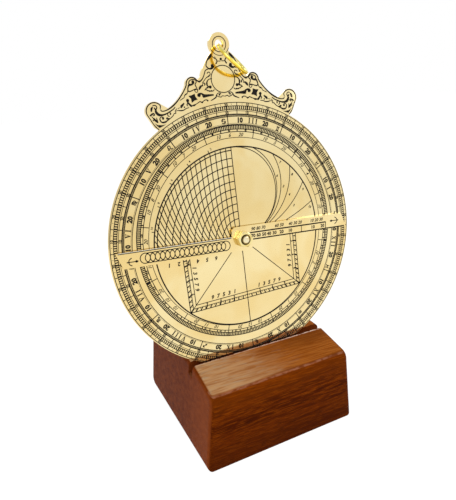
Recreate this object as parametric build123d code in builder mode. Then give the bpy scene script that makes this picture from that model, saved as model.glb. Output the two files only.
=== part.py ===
from build123d import *
import math
import os

# A brass planispheric astrolabe, 150 mm across, leaning in the saw cut of a hardwood block.
# Millimetres, +Z up. Origin: middle of the part's footprint, on the table.
# The side with the alidade faces -Y. The pierced rete and the rule are on the far side.

# Disc and throne
disc_radius = 75.0
plate_thickness = 2.0
rim_break = 0.3
lean_angle = 7.5
roll_angle = 1.0

# Throne outline, as seen beside the centre line; rises are above the top of the disc
eyelet_rise = 28.6
eyelet_radius = 5.8
eyelet_bore = 4.8
neck_half_width = 9.2
neck_rise = 20.4
notch_x = 12.5
notch_rise = 13.7
inner_scroll_x = 17.7
inner_scroll_rise = 13.8
inner_scroll_radius = 3.7
sweep_x = 25.4
sweep_rise = 4.6
saddle_x = 32.3
saddle_rise = -0.5
outer_scroll_x = 39.6
outer_scroll_rise = -1.2
outer_scroll_radius = 4.7
throne_foot_x = 40.6
throne_foot_drop = 9.4

# Limb ring and the parts that lie in it, on the far side
limb_set_in = 1.4
limb_thickness = 2.0
limb_width = 11.6
tympan_thickness = 0.8
tympan_gap = 0.4
tab_width = 5.0
tab_length = 2.4
tab_gap = 0.15
rete_thickness = 0.8
rete_gap = 0.6
rete_rim_width = 3.6
obliquity = 23.44
ecliptic_width = 4.6
equator_width = 2.6
bar_width = 3.2
rete_rest_angle = 1.0
hub_radius = 7.0
rule_thickness = 0.8
rule_width = 7.0
rule_end_gap = 0.6
running_gap = 0.08

# Centre bolt and nut
bolt_diameter = 4.9
bore_gap = 0.08
washer_thickness = 0.3
washer_diameter = 9.0
head_diameter = 9.0
head_height = 2.4
head_bevel = 0.6
head_slot_width = 1.2
head_slot_depth = 1.0
nut_across_flats = 8.0
nut_height = 4.0
nut_mouth = 3.0
nut_turn = -14.0
nut_bevel = 0.35
thread_gap = 0.03
bolt_end_length = 0.8
dome_height = 0.4

# Alidade: each arm's reading edge lies reading_offset beyond the centre line
alidade_thickness = 1.5
alidade_reach = 72.2
alidade_back_reach = 68.6
reading_offset = 1.6
arm_offset = 7.0
alidade_hub_half = 6.6
alidade_hub_corner = 3.0
alidade_rest_angle = -4.0

# Suspension ring
ring_radius = 9.9
ring_wire = 1.9
ring_wire_sides = 8
ring_slant = 28.0
ring_drop = 0.4
perch_out = 1.1
perch_up = 1.9

# Block
block_length = 100.8
end_draw = 5.6
block_front = -50.0
block_back = 48.2
block_height = 52.9
block_turn = 1.0
front_drop = 5.3
slot_setback = 26.0
slot_depth = 7.5
slot_gap = 0.1
block_shift = 5.4
corner_round = 3.0
front_round = 5.6
edge_round = 3.2
back_foot_round = 6.0

# Places that follow from the sizes above
lean = math.radians(lean_angle)
stack = plate_thickness + limb_thickness
slot_width = (
    slot_depth * math.tan(lean)
    + plate_thickness * math.sin(lean) * math.tan(lean)
    + stack * math.cos(lean)
    + 2 * slot_gap
)
slot_front = block_front + slot_setback
slot_floor = block_height - slot_depth
hub_y = slot_front + slot_gap + disc_radius * math.sin(lean)
hub_z = slot_floor + slot_gap + disc_radius * math.cos(lean) + plate_thickness * math.sin(lean)

# The engraved face: its local x runs right, y up the disc, z out towards the viewer


def turned(degrees):
    """The plane of the engraved face with its x axis turned from level, as the viewer sees it."""
    turn = math.radians(degrees)
    rise = math.sin(turn)
    return Plane(
        origin=(0, hub_y, hub_z),
        x_dir=(math.cos(turn), rise * math.sin(lean), rise * math.cos(lean)),
        z_dir=(0, -math.cos(lean), math.sin(lean)),
    )


face = turned(roll_angle)

limb_radius = disc_radius - limb_set_in
womb_radius = limb_radius - limb_width
tympan_radius = womb_radius - tympan_gap
rete_radius = womb_radius - rete_gap
rule_reach = womb_radius - rule_end_gap
bolt_hole = bolt_diameter + 2 * bore_gap

womb_floor = -plate_thickness
tympan_back = womb_floor - tympan_thickness
rete_front = tympan_back - running_gap
rete_back = rete_front - rete_thickness
rule_front = rete_back - running_gap
rule_back = rule_front - rule_thickness
rule_washer_front = rule_back - running_gap
rule_washer_back = rule_washer_front - washer_thickness
head_back = rule_washer_back - head_height
alidade_back = washer_thickness + running_gap
alidade_front = alidade_back + alidade_thickness
nut_back = alidade_front + running_gap
nut_front = nut_back + nut_height
bolt_tip = nut_front + bolt_end_length


def up_disc(rise):
    """Height above the hub of a point given by its rise above the top of the disc."""
    return disc_radius + rise


# Mater: the disc and its scrolled throne in one sheet
eyelet_y = up_disc(eyelet_rise)
with BuildPart() as mater_plate:
    with BuildSketch(face):
        Circle(disc_radius)
        with BuildSketch(mode=Mode.ADD):
            with BuildLine():
                shoulder = (eyelet_radius * math.cos(0.6), eyelet_y - eyelet_radius * math.sin(0.6))
                notch = (notch_x, up_disc(notch_rise))
                scroll_top = (inner_scroll_x, up_disc(inner_scroll_rise))
                scroll_start = (
                    inner_scroll_x - inner_scroll_radius * math.cos(math.pi / 6),
                    up_disc(inner_scroll_rise - inner_scroll_radius / 2),
                )
                scroll_end = (
                    inner_scroll_x + inner_scroll_radius,
                    up_disc(inner_scroll_rise - inner_scroll_radius),
                )
                saddle = (saddle_x, up_disc(saddle_rise))
                lift = (
                    outer_scroll_x - outer_scroll_radius * 0.7,
                    up_disc(outer_scroll_rise + outer_scroll_radius * 0.7),
                )
                crest = (
                    outer_scroll_x + outer_scroll_radius * 0.6,
                    up_disc(outer_scroll_rise + outer_scroll_radius * 0.8),
                )
                side = (
                    outer_scroll_x + outer_scroll_radius,
                    up_disc(outer_scroll_rise - outer_scroll_radius * 0.3),
                )
                foot = (throne_foot_x, up_disc(-throne_foot_drop))
                Line((0, eyelet_y), shoulder)
                Spline(shoulder, (neck_half_width, up_disc(neck_rise)), notch)
                Line(notch, scroll_start)
                ThreePointArc(scroll_start, scroll_top, scroll_end)
                ThreePointArc(scroll_end, (sweep_x, up_disc(sweep_rise)), saddle)
                Line(saddle, lift)
                ThreePointArc(lift, crest, side)
                Line(side, foot)
                Polyline(foot, (0, disc_radius / 2), (0, eyelet_y))
            make_face()
            mirror(about=Plane.YZ)
        with Locations((0, eyelet_y)):
            Circle(eyelet_radius)
            Circle(eyelet_bore / 2, mode=Mode.SUBTRACT)
        Circle(bolt_hole / 2, mode=Mode.SUBTRACT)
    extrude(amount=-plate_thickness)
    chamfer(mater_plate.edges().filter_by(GeomType.CIRCLE).sort_by(lambda e: e.radius)[-2:], rim_break)
mater_plate.part.label = "mater_plate"

# Limb: the raised ring on the far side, with a notch that keys the tympan
with BuildPart() as limb_ring:
    with BuildSketch(face.offset(-plate_thickness)):
        Circle(limb_radius)
        Circle(womb_radius, mode=Mode.SUBTRACT)
        with Locations((0, -womb_radius)):
            Rectangle(tab_width + 2 * tab_gap, 2 * (tab_length + tab_gap), mode=Mode.SUBTRACT)
    extrude(amount=-limb_thickness)
    chamfer(limb_ring.edges().filter_by(GeomType.CIRCLE).sort_by(lambda e: e.radius)[-2:], rim_break)
limb_ring.part.label = "limb_ring"

# Tympan: the thin plate that drops into the limb and is held from turning by its tab
with BuildPart() as tympan_plate:
    with BuildSketch(face.offset(womb_floor)):
        Circle(tympan_radius)
        with Locations((0, -womb_radius)):
            Rectangle(tab_width, 2 * tab_length)
        Circle(bolt_hole / 2, mode=Mode.SUBTRACT)
    extrude(amount=-tympan_thickness)
tympan_plate.part.label = "tympan_plate"

# Rete: the pierced star map. The tropic of Capricorn is its rim, and the ecliptic ring
# touches both tropics, so its size and offset follow from the obliquity.
tropic_ratio = math.tan(math.radians((90 - obliquity) / 2))
equator_radius = rete_radius * tropic_ratio
cancer_radius = equator_radius * tropic_ratio
ecliptic_radius = (rete_radius + cancer_radius) / 2
ecliptic_offset = (rete_radius - cancer_radius) / 2
rim_inner = rete_radius - rete_rim_width
ecliptic_inner = ecliptic_radius - ecliptic_width

# Star pointers: angle of the root round its ring, heading, and share of the usual length.
# Roots lie on the rim, on the equator band or on the ecliptic ring.
rim_pointers = [(-158, 48, 1.15), (-142, 22, 0.9), (-119, 40, 1.3), (-61, 140, 1.25)]
rim_pointers += [(-38, 158, 1), (-21, 132, 1.15)]
band_pointers = [(-150, 70, 1), (-128, 98, 0.85), (-104, 44, 1.1), (-74, 132, 1)]
band_pointers += [(-50, 86, 0.9), (-31, 116, 1)]
ecliptic_pointers = [(20, -150, 1), (58, -112, 1.1), (96, -64, 0.9), (128, -88, 1.1), (164, -30, 1)]
pointer_length = 12.0
pointer_overlap = 0.8
pointer_width = 3.2
pointer_bend = 2.6


rim_root = rim_inner + pointer_overlap
ecliptic_root = (ecliptic_radius + ecliptic_inner) / 2


def flame(share):
    """A star pointer: a tapering tongue with a swept tip, pointing along local x."""
    half = pointer_width / 2
    length = pointer_length * share
    with BuildSketch(mode=Mode.PRIVATE) as tongue:
        with BuildLine():
            outer = Spline((0, half), (length * 0.5, half * 0.9), (length, pointer_bend))
            inner = Spline(outer @ 1, (length * 0.6, -half * 0.25), (0, -half))
            Line(inner @ 1, outer @ 0)
        make_face()
    return tongue.sketch


with BuildPart() as rete:
    with BuildSketch(turned(roll_angle + rete_rest_angle).offset(rete_front)):
        Circle(rete_radius)
        Circle(rim_inner, mode=Mode.SUBTRACT)
        with Locations((0, ecliptic_offset)):
            Circle(ecliptic_radius)
            Circle(ecliptic_inner, mode=Mode.SUBTRACT)
        with BuildSketch(mode=Mode.ADD):
            Circle(equator_radius + equator_width / 2)
            Circle(equator_radius - equator_width / 2, mode=Mode.SUBTRACT)
            split(bisect_by=Plane.XZ, keep=Keep.TOP)
        with Locations((-rim_inner / 2, bar_width / 4), (rim_inner / 2, -bar_width / 4)):
            Rectangle(rim_inner + pointer_overlap, bar_width)
        with Locations((0, -rim_inner / 2)):
            Rectangle(bar_width, rim_inner + pointer_overlap)
        Circle(hub_radius)
        for pointers, radius, rise in (
            (rim_pointers, rim_root, 0),
            (band_pointers, equator_radius, 0),
            (ecliptic_pointers, ecliptic_root, ecliptic_offset),
        ):
            for turn, heading, share in pointers:
                root = math.radians(turn)
                foot = (radius * math.cos(root), rise + radius * math.sin(root), 0)
                with Locations(Location(foot, heading)):
                    add(flame(share))
        Circle(bolt_hole / 2, mode=Mode.SUBTRACT)
    extrude(amount=-rete_thickness)
rete.part.label = "rete"

# Rule: two arms on opposite sides of the centre line, so each reading edge is a radius
with BuildPart() as rule:
    with BuildSketch(face.offset(rule_front)):
        with BuildSketch(mode=Mode.PRIVATE) as rule_arm:
            with BuildLine():
                Polyline(
                    (0, 0),
                    (rule_reach, 0),
                    (rule_reach - rule_width * 0.5, rule_width * 0.6),
                    (0, rule_width * 0.6),
                    close=True,
                )
            make_face()
        with PolarLocations(0, 2):
            add(rule_arm.sketch)
        Circle(hub_radius)
        Circle(bolt_hole / 2, mode=Mode.SUBTRACT)
    extrude(amount=-rule_thickness)
rule.part.label = "rule"

# Alidade: the reading arm on the engraved face, counterchanged about its square hub
alidade_plane = turned(roll_angle + alidade_rest_angle).offset(alidade_back)
with BuildPart() as alidade:
    with BuildSketch(alidade_plane):
        with BuildSketch(mode=Mode.PRIVATE) as sight_arm:
            with BuildLine():
                Polyline(
                    (0, -reading_offset),
                    (alidade_reach, -reading_offset),
                    (alidade_back_reach, arm_offset),
                    (0, arm_offset),
                    close=True,
                )
            make_face()
        with PolarLocations(0, 2):
            add(sight_arm.sketch)
        with BuildSketch(mode=Mode.ADD) as alidade_hub:
            Rectangle(2 * alidade_hub_half, 2 * arm_offset)
            fillet(
                [
                    alidade_hub.vertices().sort_by(lambda v: v.X - v.Y)[0],
                    alidade_hub.vertices().sort_by(lambda v: v.X - v.Y)[-1],
                ],
                alidade_hub_corner,
            )
        Circle(bolt_hole / 2, mode=Mode.SUBTRACT)
    extrude(amount=alidade_thickness)
alidade.part.label = "alidade"

# Washers either side, which keep the moving parts off the engraving and the bolt head
with BuildPart() as alidade_washer:
    with BuildSketch(face):
        Circle(washer_diameter / 2)
        Circle(bolt_hole / 2, mode=Mode.SUBTRACT)
    extrude(amount=washer_thickness)
alidade_washer.part.label = "alidade_washer"

with BuildPart() as rule_washer:
    with BuildSketch(face.offset(rule_washer_front)):
        Circle(washer_diameter / 2)
        Circle(bolt_hole / 2, mode=Mode.SUBTRACT)
    extrude(amount=-washer_thickness)
rule_washer.part.label = "rule_washer"

# Centre bolt: slotted head on the far side, domed end standing out of the nut.
# The section plane has the radius as local x and the way out of the face as local y.
section = Plane(origin=face.origin, x_dir=face.x_dir, z_dir=-face.y_dir)
pivot = Axis(face.origin, face.z_dir)
head_radius = head_diameter / 2
bolt_radius = bolt_diameter / 2
dome_radius = (bolt_radius**2 + dome_height**2) / (2 * dome_height)
dome_half = math.asin(bolt_radius / dome_radius) / 2
with BuildPart() as centre_bolt:
    with BuildSketch(section):
        with BuildLine():
            Polyline(
                (0, bolt_tip),
                (0, head_back),
                (head_radius - head_bevel, head_back),
                (head_radius, head_back + head_bevel),
                (head_radius, rule_washer_back),
                (bolt_radius, rule_washer_back),
                (bolt_radius, bolt_tip - dome_height),
            )
            ThreePointArc(
                (bolt_radius, bolt_tip - dome_height),
                (dome_radius * math.sin(dome_half), bolt_tip - dome_radius * (1 - math.cos(dome_half))),
                (0, bolt_tip),
            )
        make_face()
    revolve(axis=pivot)
    with BuildSketch(face.offset(head_back)):
        Rectangle(head_diameter + 2, head_slot_width, rotation=35)
    extrude(amount=head_slot_depth, mode=Mode.SUBTRACT)
centre_bolt.part.label = "centre_bolt"

# Hexagon nut with its corners turned off on both faces and its mouth countersunk
nut_corner = nut_across_flats / math.sqrt(3)
with BuildPart() as hex_nut:
    with BuildSketch(face.offset(nut_back)):
        RegularPolygon(nut_across_flats / 2, 6, major_radius=False, rotation=nut_turn)
        Circle(bolt_diameter / 2 + thread_gap, mode=Mode.SUBTRACT)
    extrude(amount=nut_height)
    with BuildSketch(section):
        with BuildLine():
            Polyline(
                (0, nut_back),
                (nut_across_flats / 2, nut_back),
                (nut_corner, nut_back + nut_bevel),
                (nut_corner, nut_front - nut_bevel),
                (nut_across_flats / 2, nut_front),
                (nut_mouth, nut_front),
                (bolt_radius, nut_front - (nut_mouth - bolt_radius)),
                (0, nut_front - (nut_mouth - bolt_radius)),
                close=True,
            )
        make_face()
    revolve(axis=pivot, mode=Mode.INTERSECT)
hex_nut.part.label = "hex_nut"

# Suspension ring: hangs low in the eyelet and comes to rest in the notch beside the neck.
# It crosses the sheet at the eyelet and at the notch, which fixes how far it hangs forward.
mid_sheet = -plate_thickness / 2
perch_x = notch_x + perch_out
perch_y = up_disc(notch_rise) + perch_up
wire_y = eyelet_y - ring_drop
reach_angle = math.atan2(perch_y - wire_y, perch_x)
reach = math.hypot(perch_x, perch_y - wire_y)
swing = math.acos(reach / (2 * ring_radius))
slant = math.radians(ring_slant)
along = Vector(math.cos(reach_angle), math.sin(reach_angle), 0)
aside = Vector(math.sin(reach_angle), -math.cos(reach_angle), 0)
forward = aside * math.sin(slant) + Vector(0, 0, 1) * math.cos(slant)
ring_centre = (
    Vector(0, wire_y, mid_sheet)
    + along * (ring_radius * math.cos(swing))
    + forward * (ring_radius * math.sin(swing))
)
ring_normal = face.from_local_coords(along.cross(forward)) - face.origin
ring_plane = Plane(origin=face.from_local_coords(ring_centre), z_dir=ring_normal)
with BuildPart() as suspension_ring:
    with BuildSketch(Plane(origin=ring_plane.origin, x_dir=ring_plane.x_dir, z_dir=ring_plane.y_dir)):
        with Locations((ring_radius, 0)):
            RegularPolygon(ring_wire / 2, ring_wire_sides)
    revolve(axis=Axis(ring_plane.origin, ring_plane.z_dir))
suspension_ring.part.label = "suspension_ring"

# Block: the top falls forward from the saw cut, the ends draw in towards the top, and the saw cut
# runs a little out of square with the front
turn = math.radians(block_turn)
block_along = Vector(math.cos(turn), math.sin(turn), 0)
block_inward = Vector(-math.sin(turn), math.cos(turn), 0)
block_middle = Vector(block_shift, 0, 0)
with BuildPart() as base_block:
    with BuildSketch(Plane(origin=block_middle, x_dir=block_inward, z_dir=block_along)) as side_view:
        with BuildLine():
            Polyline(
                (block_front, 0),
                (block_back, 0),
                (block_back, block_height),
                (slot_front, block_height),
                (block_front, block_height - front_drop),
                close=True,
            )
        make_face()
        low = side_view.vertices().filter_by(lambda v: v.Y < block_height / 4)
        fillet(low.filter_by(lambda v: v.X > 0), back_foot_round)
        high = side_view.vertices().filter_by(lambda v: v.Y > block_height / 2)
        fillet(high.filter_by(lambda v: v.X < slot_front - 1), front_round)
        high = side_view.vertices().filter_by(lambda v: v.Y > block_height / 2)
        fillet(high.filter_by(lambda v: v.X > slot_front + 1), edge_round)
    extrude(amount=block_length / 2, both=True)
    behind = block_middle + block_inward * (2 * block_back)
    with BuildSketch(Plane(origin=behind, x_dir=block_along, z_dir=-block_inward)):
        for side in (-1, 1):
            with BuildLine():
                Polyline(
                    (side * block_length / 2, 0),
                    (side * (block_length / 2 - end_draw), block_height),
                    (side * (block_length / 2 - end_draw), block_height + 1),
                    (side * (block_length / 2 + 1), block_height + 1),
                    (side * (block_length / 2 + 1), 0),
                    close=True,
                )
            make_face()
    extrude(amount=4 * block_back, mode=Mode.SUBTRACT)
    ends = base_block.faces().sort_by(Axis.X)
    fillet(ends[0].edges() + ends[-1].edges(), corner_round)
    with BuildSketch(Plane.XZ.offset(-slot_front)):
        with Locations((block_shift, block_height)):
            Rectangle(2 * block_length, 2 * slot_depth)
    extrude(amount=-slot_width, mode=Mode.SUBTRACT)
base_block.part.label = "base_block"

pieces = [
    base_block,
    mater_plate,
    limb_ring,
    tympan_plate,
    rete,
    rule,
    alidade,
    alidade_washer,
    rule_washer,
    centre_bolt,
    hex_nut,
    suspension_ring,
]
os.makedirs("parts", exist_ok=True)
for piece in pieces:
    export_step(piece.part, "parts/" + piece.part.label + ".step")
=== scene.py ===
"""Dressed model of a brass astrolabe that leans in the saw cut of a hardwood block.

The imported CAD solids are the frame. The engraving is black-filled line work laid on their
faces, and every solid gets its finish. Lengths in the classes are millimetres, in
the plane of the engraved face where they are pairs: x to the right, y up the disc, from the
middle of the disc. Angles round the dial are degrees clockwise from the top.
"""

import logging
import math
from collections.abc import Callable, Iterable, Mapping, Sequence
from dataclasses import dataclass, field
from enum import Enum

import bpy
from mathutils import Matrix, Vector


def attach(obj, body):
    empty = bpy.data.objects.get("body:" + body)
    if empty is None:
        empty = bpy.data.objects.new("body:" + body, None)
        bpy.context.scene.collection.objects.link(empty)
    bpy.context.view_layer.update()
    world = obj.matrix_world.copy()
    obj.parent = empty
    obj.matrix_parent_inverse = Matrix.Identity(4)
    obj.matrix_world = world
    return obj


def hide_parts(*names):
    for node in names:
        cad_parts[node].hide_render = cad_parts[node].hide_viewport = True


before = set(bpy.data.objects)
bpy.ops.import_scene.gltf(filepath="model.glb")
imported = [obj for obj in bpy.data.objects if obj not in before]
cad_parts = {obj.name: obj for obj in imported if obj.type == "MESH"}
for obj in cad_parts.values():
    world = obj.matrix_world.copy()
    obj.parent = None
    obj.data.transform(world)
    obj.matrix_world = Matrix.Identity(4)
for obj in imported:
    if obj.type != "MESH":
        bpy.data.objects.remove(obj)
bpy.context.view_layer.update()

Point = tuple[float, float]
Knot = tuple[float, float, float]
Colour = tuple[float, float, float]

LOG = logging.getLogger("astrolabe")
MM = 0.001
HUB = Vector((0.0, -14.1105, 120.119))
LEAN = math.radians(7.5)
ROLL = 1.0


def srgb(red: int, green: int, blue: int) -> tuple[float, float, float, float]:
    """Turns a colour of 0 to 255 steps into the linear values that Blender's sockets take.

    Args:
        red: Red, 0 to 255.
        green: Green, 0 to 255.
        blue: Blue, 0 to 255.

    Returns:
        Linear red, green and blue with an alpha of one.
    """
    linear = []
    for step in (red, green, blue):
        share = step / 255
        linear.append(share / 12.92 if share <= 0.04045 else ((share + 0.055) / 1.055) ** 2.4)
    return (linear[0], linear[1], linear[2], 1.0)


def polar(radius: float, angle: float, centre: Point = (0.0, 0.0)) -> Point:
    """Gives the point at an angle round a dial.

    Args:
        radius: Distance from the centre.
        angle: Degrees clockwise from the top.
        centre: Middle of the dial.

    Returns:
        The point in the plane of the dial.
    """
    turn = math.radians(angle)
    return (centre[0] + radius * math.sin(turn), centre[1] + radius * math.cos(turn))


def smooth(knots: Sequence[Sequence[float]], steps: int = 5) -> list[tuple[float, ...]]:
    """Draws a smooth curve through points, by Catmull-Rom spans.

    Args:
        knots: Points, or points with a width, in order.
        steps: Points on each span.

    Returns:
        Points along the curve, each with as many values as a knot.
    """
    if len(knots) < 3:
        return [tuple(knot) for knot in knots]
    line = [knots[0], *knots, knots[-1]]
    drawn: list[tuple[float, ...]] = []
    for a, b, c, d in zip(line, line[1:], line[2:], line[3:]):
        for step in range(steps):
            t = step / steps
            drawn.append(
                tuple(
                    0.5 * (2 * q + (r - p) * t + (2 * p - 5 * q + 4 * r - s) * t * t)
                    + 0.5 * (3 * q - p - 3 * r + s) * t**3
                    for p, q, r, s in zip(a, b, c, d)
                )
            )
    drawn.append(tuple(knots[-1]))
    return drawn


# Shader writing


class Maths(Enum):
    """The operations that values are worked out with."""

    ADD = "ADD"
    SUBTRACT = "SUBTRACT"
    MULTIPLY = "MULTIPLY"
    SIZE = "ABSOLUTE"
    MOST = "MAXIMUM"


class Value:
    """A number that varies over a surface, with Python's operators for its maths."""

    def __init__(self, nodes: "Nodes", socket: bpy.types.NodeSocket) -> None:
        """Wraps a socket.

        Args:
            nodes: The node tree that the socket belongs to.
            socket: The output socket.
        """
        self.nodes = nodes
        self.socket = socket

    def _maths(self, kind: Maths, first: object, second: object) -> "Value":
        """Adds one Math node.

        Args:
            kind: The node's operation.
            first: Its first value or link.
            second: Its second value or link.

        Returns:
            The node's result.
        """
        node = self.nodes.node("ShaderNodeMath", {"operation": kind.value}, {0: first, 1: second})
        return Value(self.nodes, node.outputs[0])

    def __add__(self, other: object) -> "Value":
        """Adds."""
        return self._maths(Maths.ADD, self, other)

    def __radd__(self, other: object) -> "Value":
        """Adds, with the plain number first."""
        return self._maths(Maths.ADD, other, self)

    def __sub__(self, other: object) -> "Value":
        """Subtracts."""
        return self._maths(Maths.SUBTRACT, self, other)

    def __rsub__(self, other: object) -> "Value":
        """Subtracts from a plain number."""
        return self._maths(Maths.SUBTRACT, other, self)

    def __mul__(self, other: object) -> "Value":
        """Multiplies."""
        return self._maths(Maths.MULTIPLY, self, other)

    def __rmul__(self, other: object) -> "Value":
        """Multiplies, with the plain number first."""
        return self._maths(Maths.MULTIPLY, other, self)

    def __abs__(self) -> "Value":
        """Takes the size without its sign."""
        return self._maths(Maths.SIZE, self, 0.0)

    def most(self, other: object) -> "Value":
        """Takes the larger of two."""
        return self._maths(Maths.MOST, self, other)

    def between(self, low: float, high: float) -> "Value":
        """Rises smoothly from nought to one.

        Args:
            low: Where it starts to rise; above high, it falls instead.
            high: Where it has reached one.

        Returns:
            A mask of 0 to 1.
        """
        settings = {"interpolation_type": "SMOOTHSTEP", "clamp": True}
        node = self.nodes.node("ShaderNodeMapRange", settings, {0: self, 1: low, 2: high})
        return Value(self.nodes, node.outputs[0])


class Nodes:
    """A node tree that nodes are added to."""

    def __init__(self, tree: bpy.types.NodeTree) -> None:
        """Takes over a tree.

        Args:
            tree: The tree of a material or of the world.
        """
        self.tree = tree

    def node(
        self, kind: str, settings: Mapping[str, object], sockets: Mapping[object, object]
    ) -> bpy.types.Node:
        """Adds a node, with its settings before its sockets.

        Args:
            kind: Blender's name for the node's type.
            settings: The node's own settings, by name.
            sockets: Values or links of its input sockets, by name or number.

        Returns:
            The new node.
        """
        made = self.tree.nodes.new(kind)
        for name, setting in settings.items():
            setattr(made, name, setting)
        for name, given in sockets.items():
            if isinstance(given, Value):
                given = given.socket
            if isinstance(given, bpy.types.NodeSocket):
                self.tree.links.new(given, made.inputs[name])
            else:
                made.inputs[name].default_value = given
        return made

    def background_share(self) -> Value:
        """Gives one where the background is looked at, in metal and glass too, and else nought."""
        path = self.node("ShaderNodeLightPath", {}, {}).outputs
        seen = Value(self, path["Is Camera Ray"])
        return seen.most(Value(self, path["Is Glossy Ray"])).most(Value(self, path["Is Transmission Ray"]))


class Paint(Nodes):
    """The nodes of one material."""

    def __init__(self, name: str) -> None:
        """Starts a material with its Principled shader.

        Args:
            name: Name of the material.
        """
        self.material = bpy.data.materials.new(name)
        self.material.use_nodes = True
        super().__init__(self.material.node_tree)
        self.tree.nodes.clear()
        self.shader = self.node("ShaderNodeBsdfPrincipled", {}, {})
        self.node("ShaderNodeOutputMaterial", {}, {"Surface": self.shader.outputs[0]})
        self.place = self.node("ShaderNodeTexCoord", {}, {}).outputs["Object"]

    def stretched(self, scale: Sequence[float], turn: Sequence[float] = (0, 0, 0)) -> bpy.types.NodeSocket:
        """Gives the place on the object, stretched and turned.

        Args:
            scale: How many pattern units there are to a metre, along each axis.
            turn: Degrees that the pattern is turned about each axis.

        Returns:
            The place, for the Vector socket of a pattern.
        """
        angles = tuple(math.radians(angle) for angle in turn)
        turned = self.node("ShaderNodeMapping", {}, {0: self.place, 2: angles})
        return self.node("ShaderNodeMapping", {}, {0: turned.outputs[0], 3: tuple(scale)}).outputs[0]

    def noise(self, place: bpy.types.NodeSocket, detail: float = 2.0, warp: float = 0.0) -> Value:
        """Gives a cloudy pattern of 0 to 1, mostly near a half.

        Args:
            place: Where it is read, one cloud to a unit.
            detail: How many finer layers it has.
            warp: How much it is stirred.

        Returns:
            The pattern.
        """
        sockets = {"Vector": place, "Scale": 1.0, "Detail": detail, "Distortion": warp}
        return Value(self, self.node("ShaderNodeTexNoise", {}, sockets).outputs[0])

    def blend(self, share: object, first: object, second: object) -> bpy.types.NodeSocket:
        """Blends two colours.

        Args:
            share: How much of the second there is, 0 to 1.
            first: A colour or link.
            second: A colour or link.

        Returns:
            The blended colour.
        """
        sockets = {0: share, 6: first, 7: second}
        return self.node("ShaderNodeMix", {"data_type": "RGBA"}, sockets).outputs[2]

    def split(self, link: bpy.types.NodeSocket) -> list[Value]:
        """Splits a vector into its x, y and z."""
        return [Value(self, way) for way in self.node("ShaderNodeSeparateXYZ", {}, {0: link}).outputs]

    def facing(self) -> list[Value]:
        """Gives the way that the surface faces, along each axis."""
        return self.split(self.node("ShaderNodeNewGeometry", {}, {}).outputs["Normal"])

    def away(self, middle: Sequence[float], along: Sequence[float]) -> Value:
        """Gives the distance from a straight line.

        Args:
            middle: A point on the line, in metres.
            along: The line's direction, one long.

        Returns:
            The distance in metres.
        """
        settings = [{"operation": kind} for kind in ("SUBTRACT", "CROSS_PRODUCT", "LENGTH")]
        from_line = self.node("ShaderNodeVectorMath", settings[0], {0: self.place, 1: tuple(middle)})
        across = {0: from_line.outputs[0], 1: tuple(along)}
        turned = self.node("ShaderNodeVectorMath", settings[1], across)
        length = self.node("ShaderNodeVectorMath", settings[2], {0: turned.outputs[0]})
        return Value(self, length.outputs["Value"])

    def shade(self, sockets: Mapping[str, object]) -> None:
        """Sets or links sockets of the Principled shader.

        Args:
            sockets: Values or links, by the socket's name.
        """
        for name, given in sockets.items():
            if isinstance(given, Value):
                given = given.socket
            if isinstance(given, bpy.types.NodeSocket):
                self.tree.links.new(given, self.shader.inputs[name])
            else:
                self.shader.inputs[name].default_value = given

    def bump(self, height: Value, rise: float) -> None:
        """Gives the surface a fine relief.

        Args:
            height: The relief, 0 to 1.
            rise: Height of one, in metres.
        """
        sockets = {"Height": height, "Distance": rise, "Strength": 1.0}
        self.shade({"Normal": self.node("ShaderNodeBump", {}, sockets).outputs[0]})


@dataclass(frozen=True)
class Brass:
    """Polished brass: a base tone, a warmer tone in clouds, and fine polishing lines.

    Attributes:
        name: Name of its material.
        tone: Its base tone.
        warm: The warmer tone of its clouds.
        gloss: Least roughness.
        haze: How much rougher it gets.
        clouds: How many clouds there are to a metre.
        lines: How many polishing lines there are to a metre, along each axis.
        wave: Height of the relief in metres.
        tarnish: How strong its dark specks are, 0 to 1.
    """

    name: str
    tone: Colour
    warm: Colour
    gloss: float = 0.1
    haze: float = 0.08
    clouds: float = 26.0
    lines: tuple[float, float, float] = (60.0, 5200.0, 5200.0)
    wave: float = 0.0000015
    tarnish: float = 0.25

    def material(self) -> bpy.types.Material:
        """Makes the material.

        Returns:
            A metal whose colour and gloss vary slightly over the surface.
        """
        paint = Paint(self.name)
        drift = paint.noise(paint.stretched((self.clouds,) * 3), 3.0, 0.8).between(0.36, 0.66)
        specks = paint.noise(paint.stretched((620.0,) * 3), 4.0)
        polish = paint.noise(paint.stretched(self.lines, (0, 1.5, 0)), 2.0)
        colour = paint.blend(drift, srgb(*self.tone), srgb(*self.warm))
        dulled = tuple(channel * 0.62 for channel in srgb(*self.warm)[:3]) + (1.0,)
        colour = paint.blend(specks.between(0.66, 0.8) * self.tarnish, colour, dulled)
        rough = self.gloss + self.haze * (0.55 * polish + 0.45 * drift)
        paint.shade({"Base Color": colour, "Roughness": rough, "Metallic": 1.0})
        paint.bump(0.7 * polish + 0.3 * specks, self.wave)
        return paint.material


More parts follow.
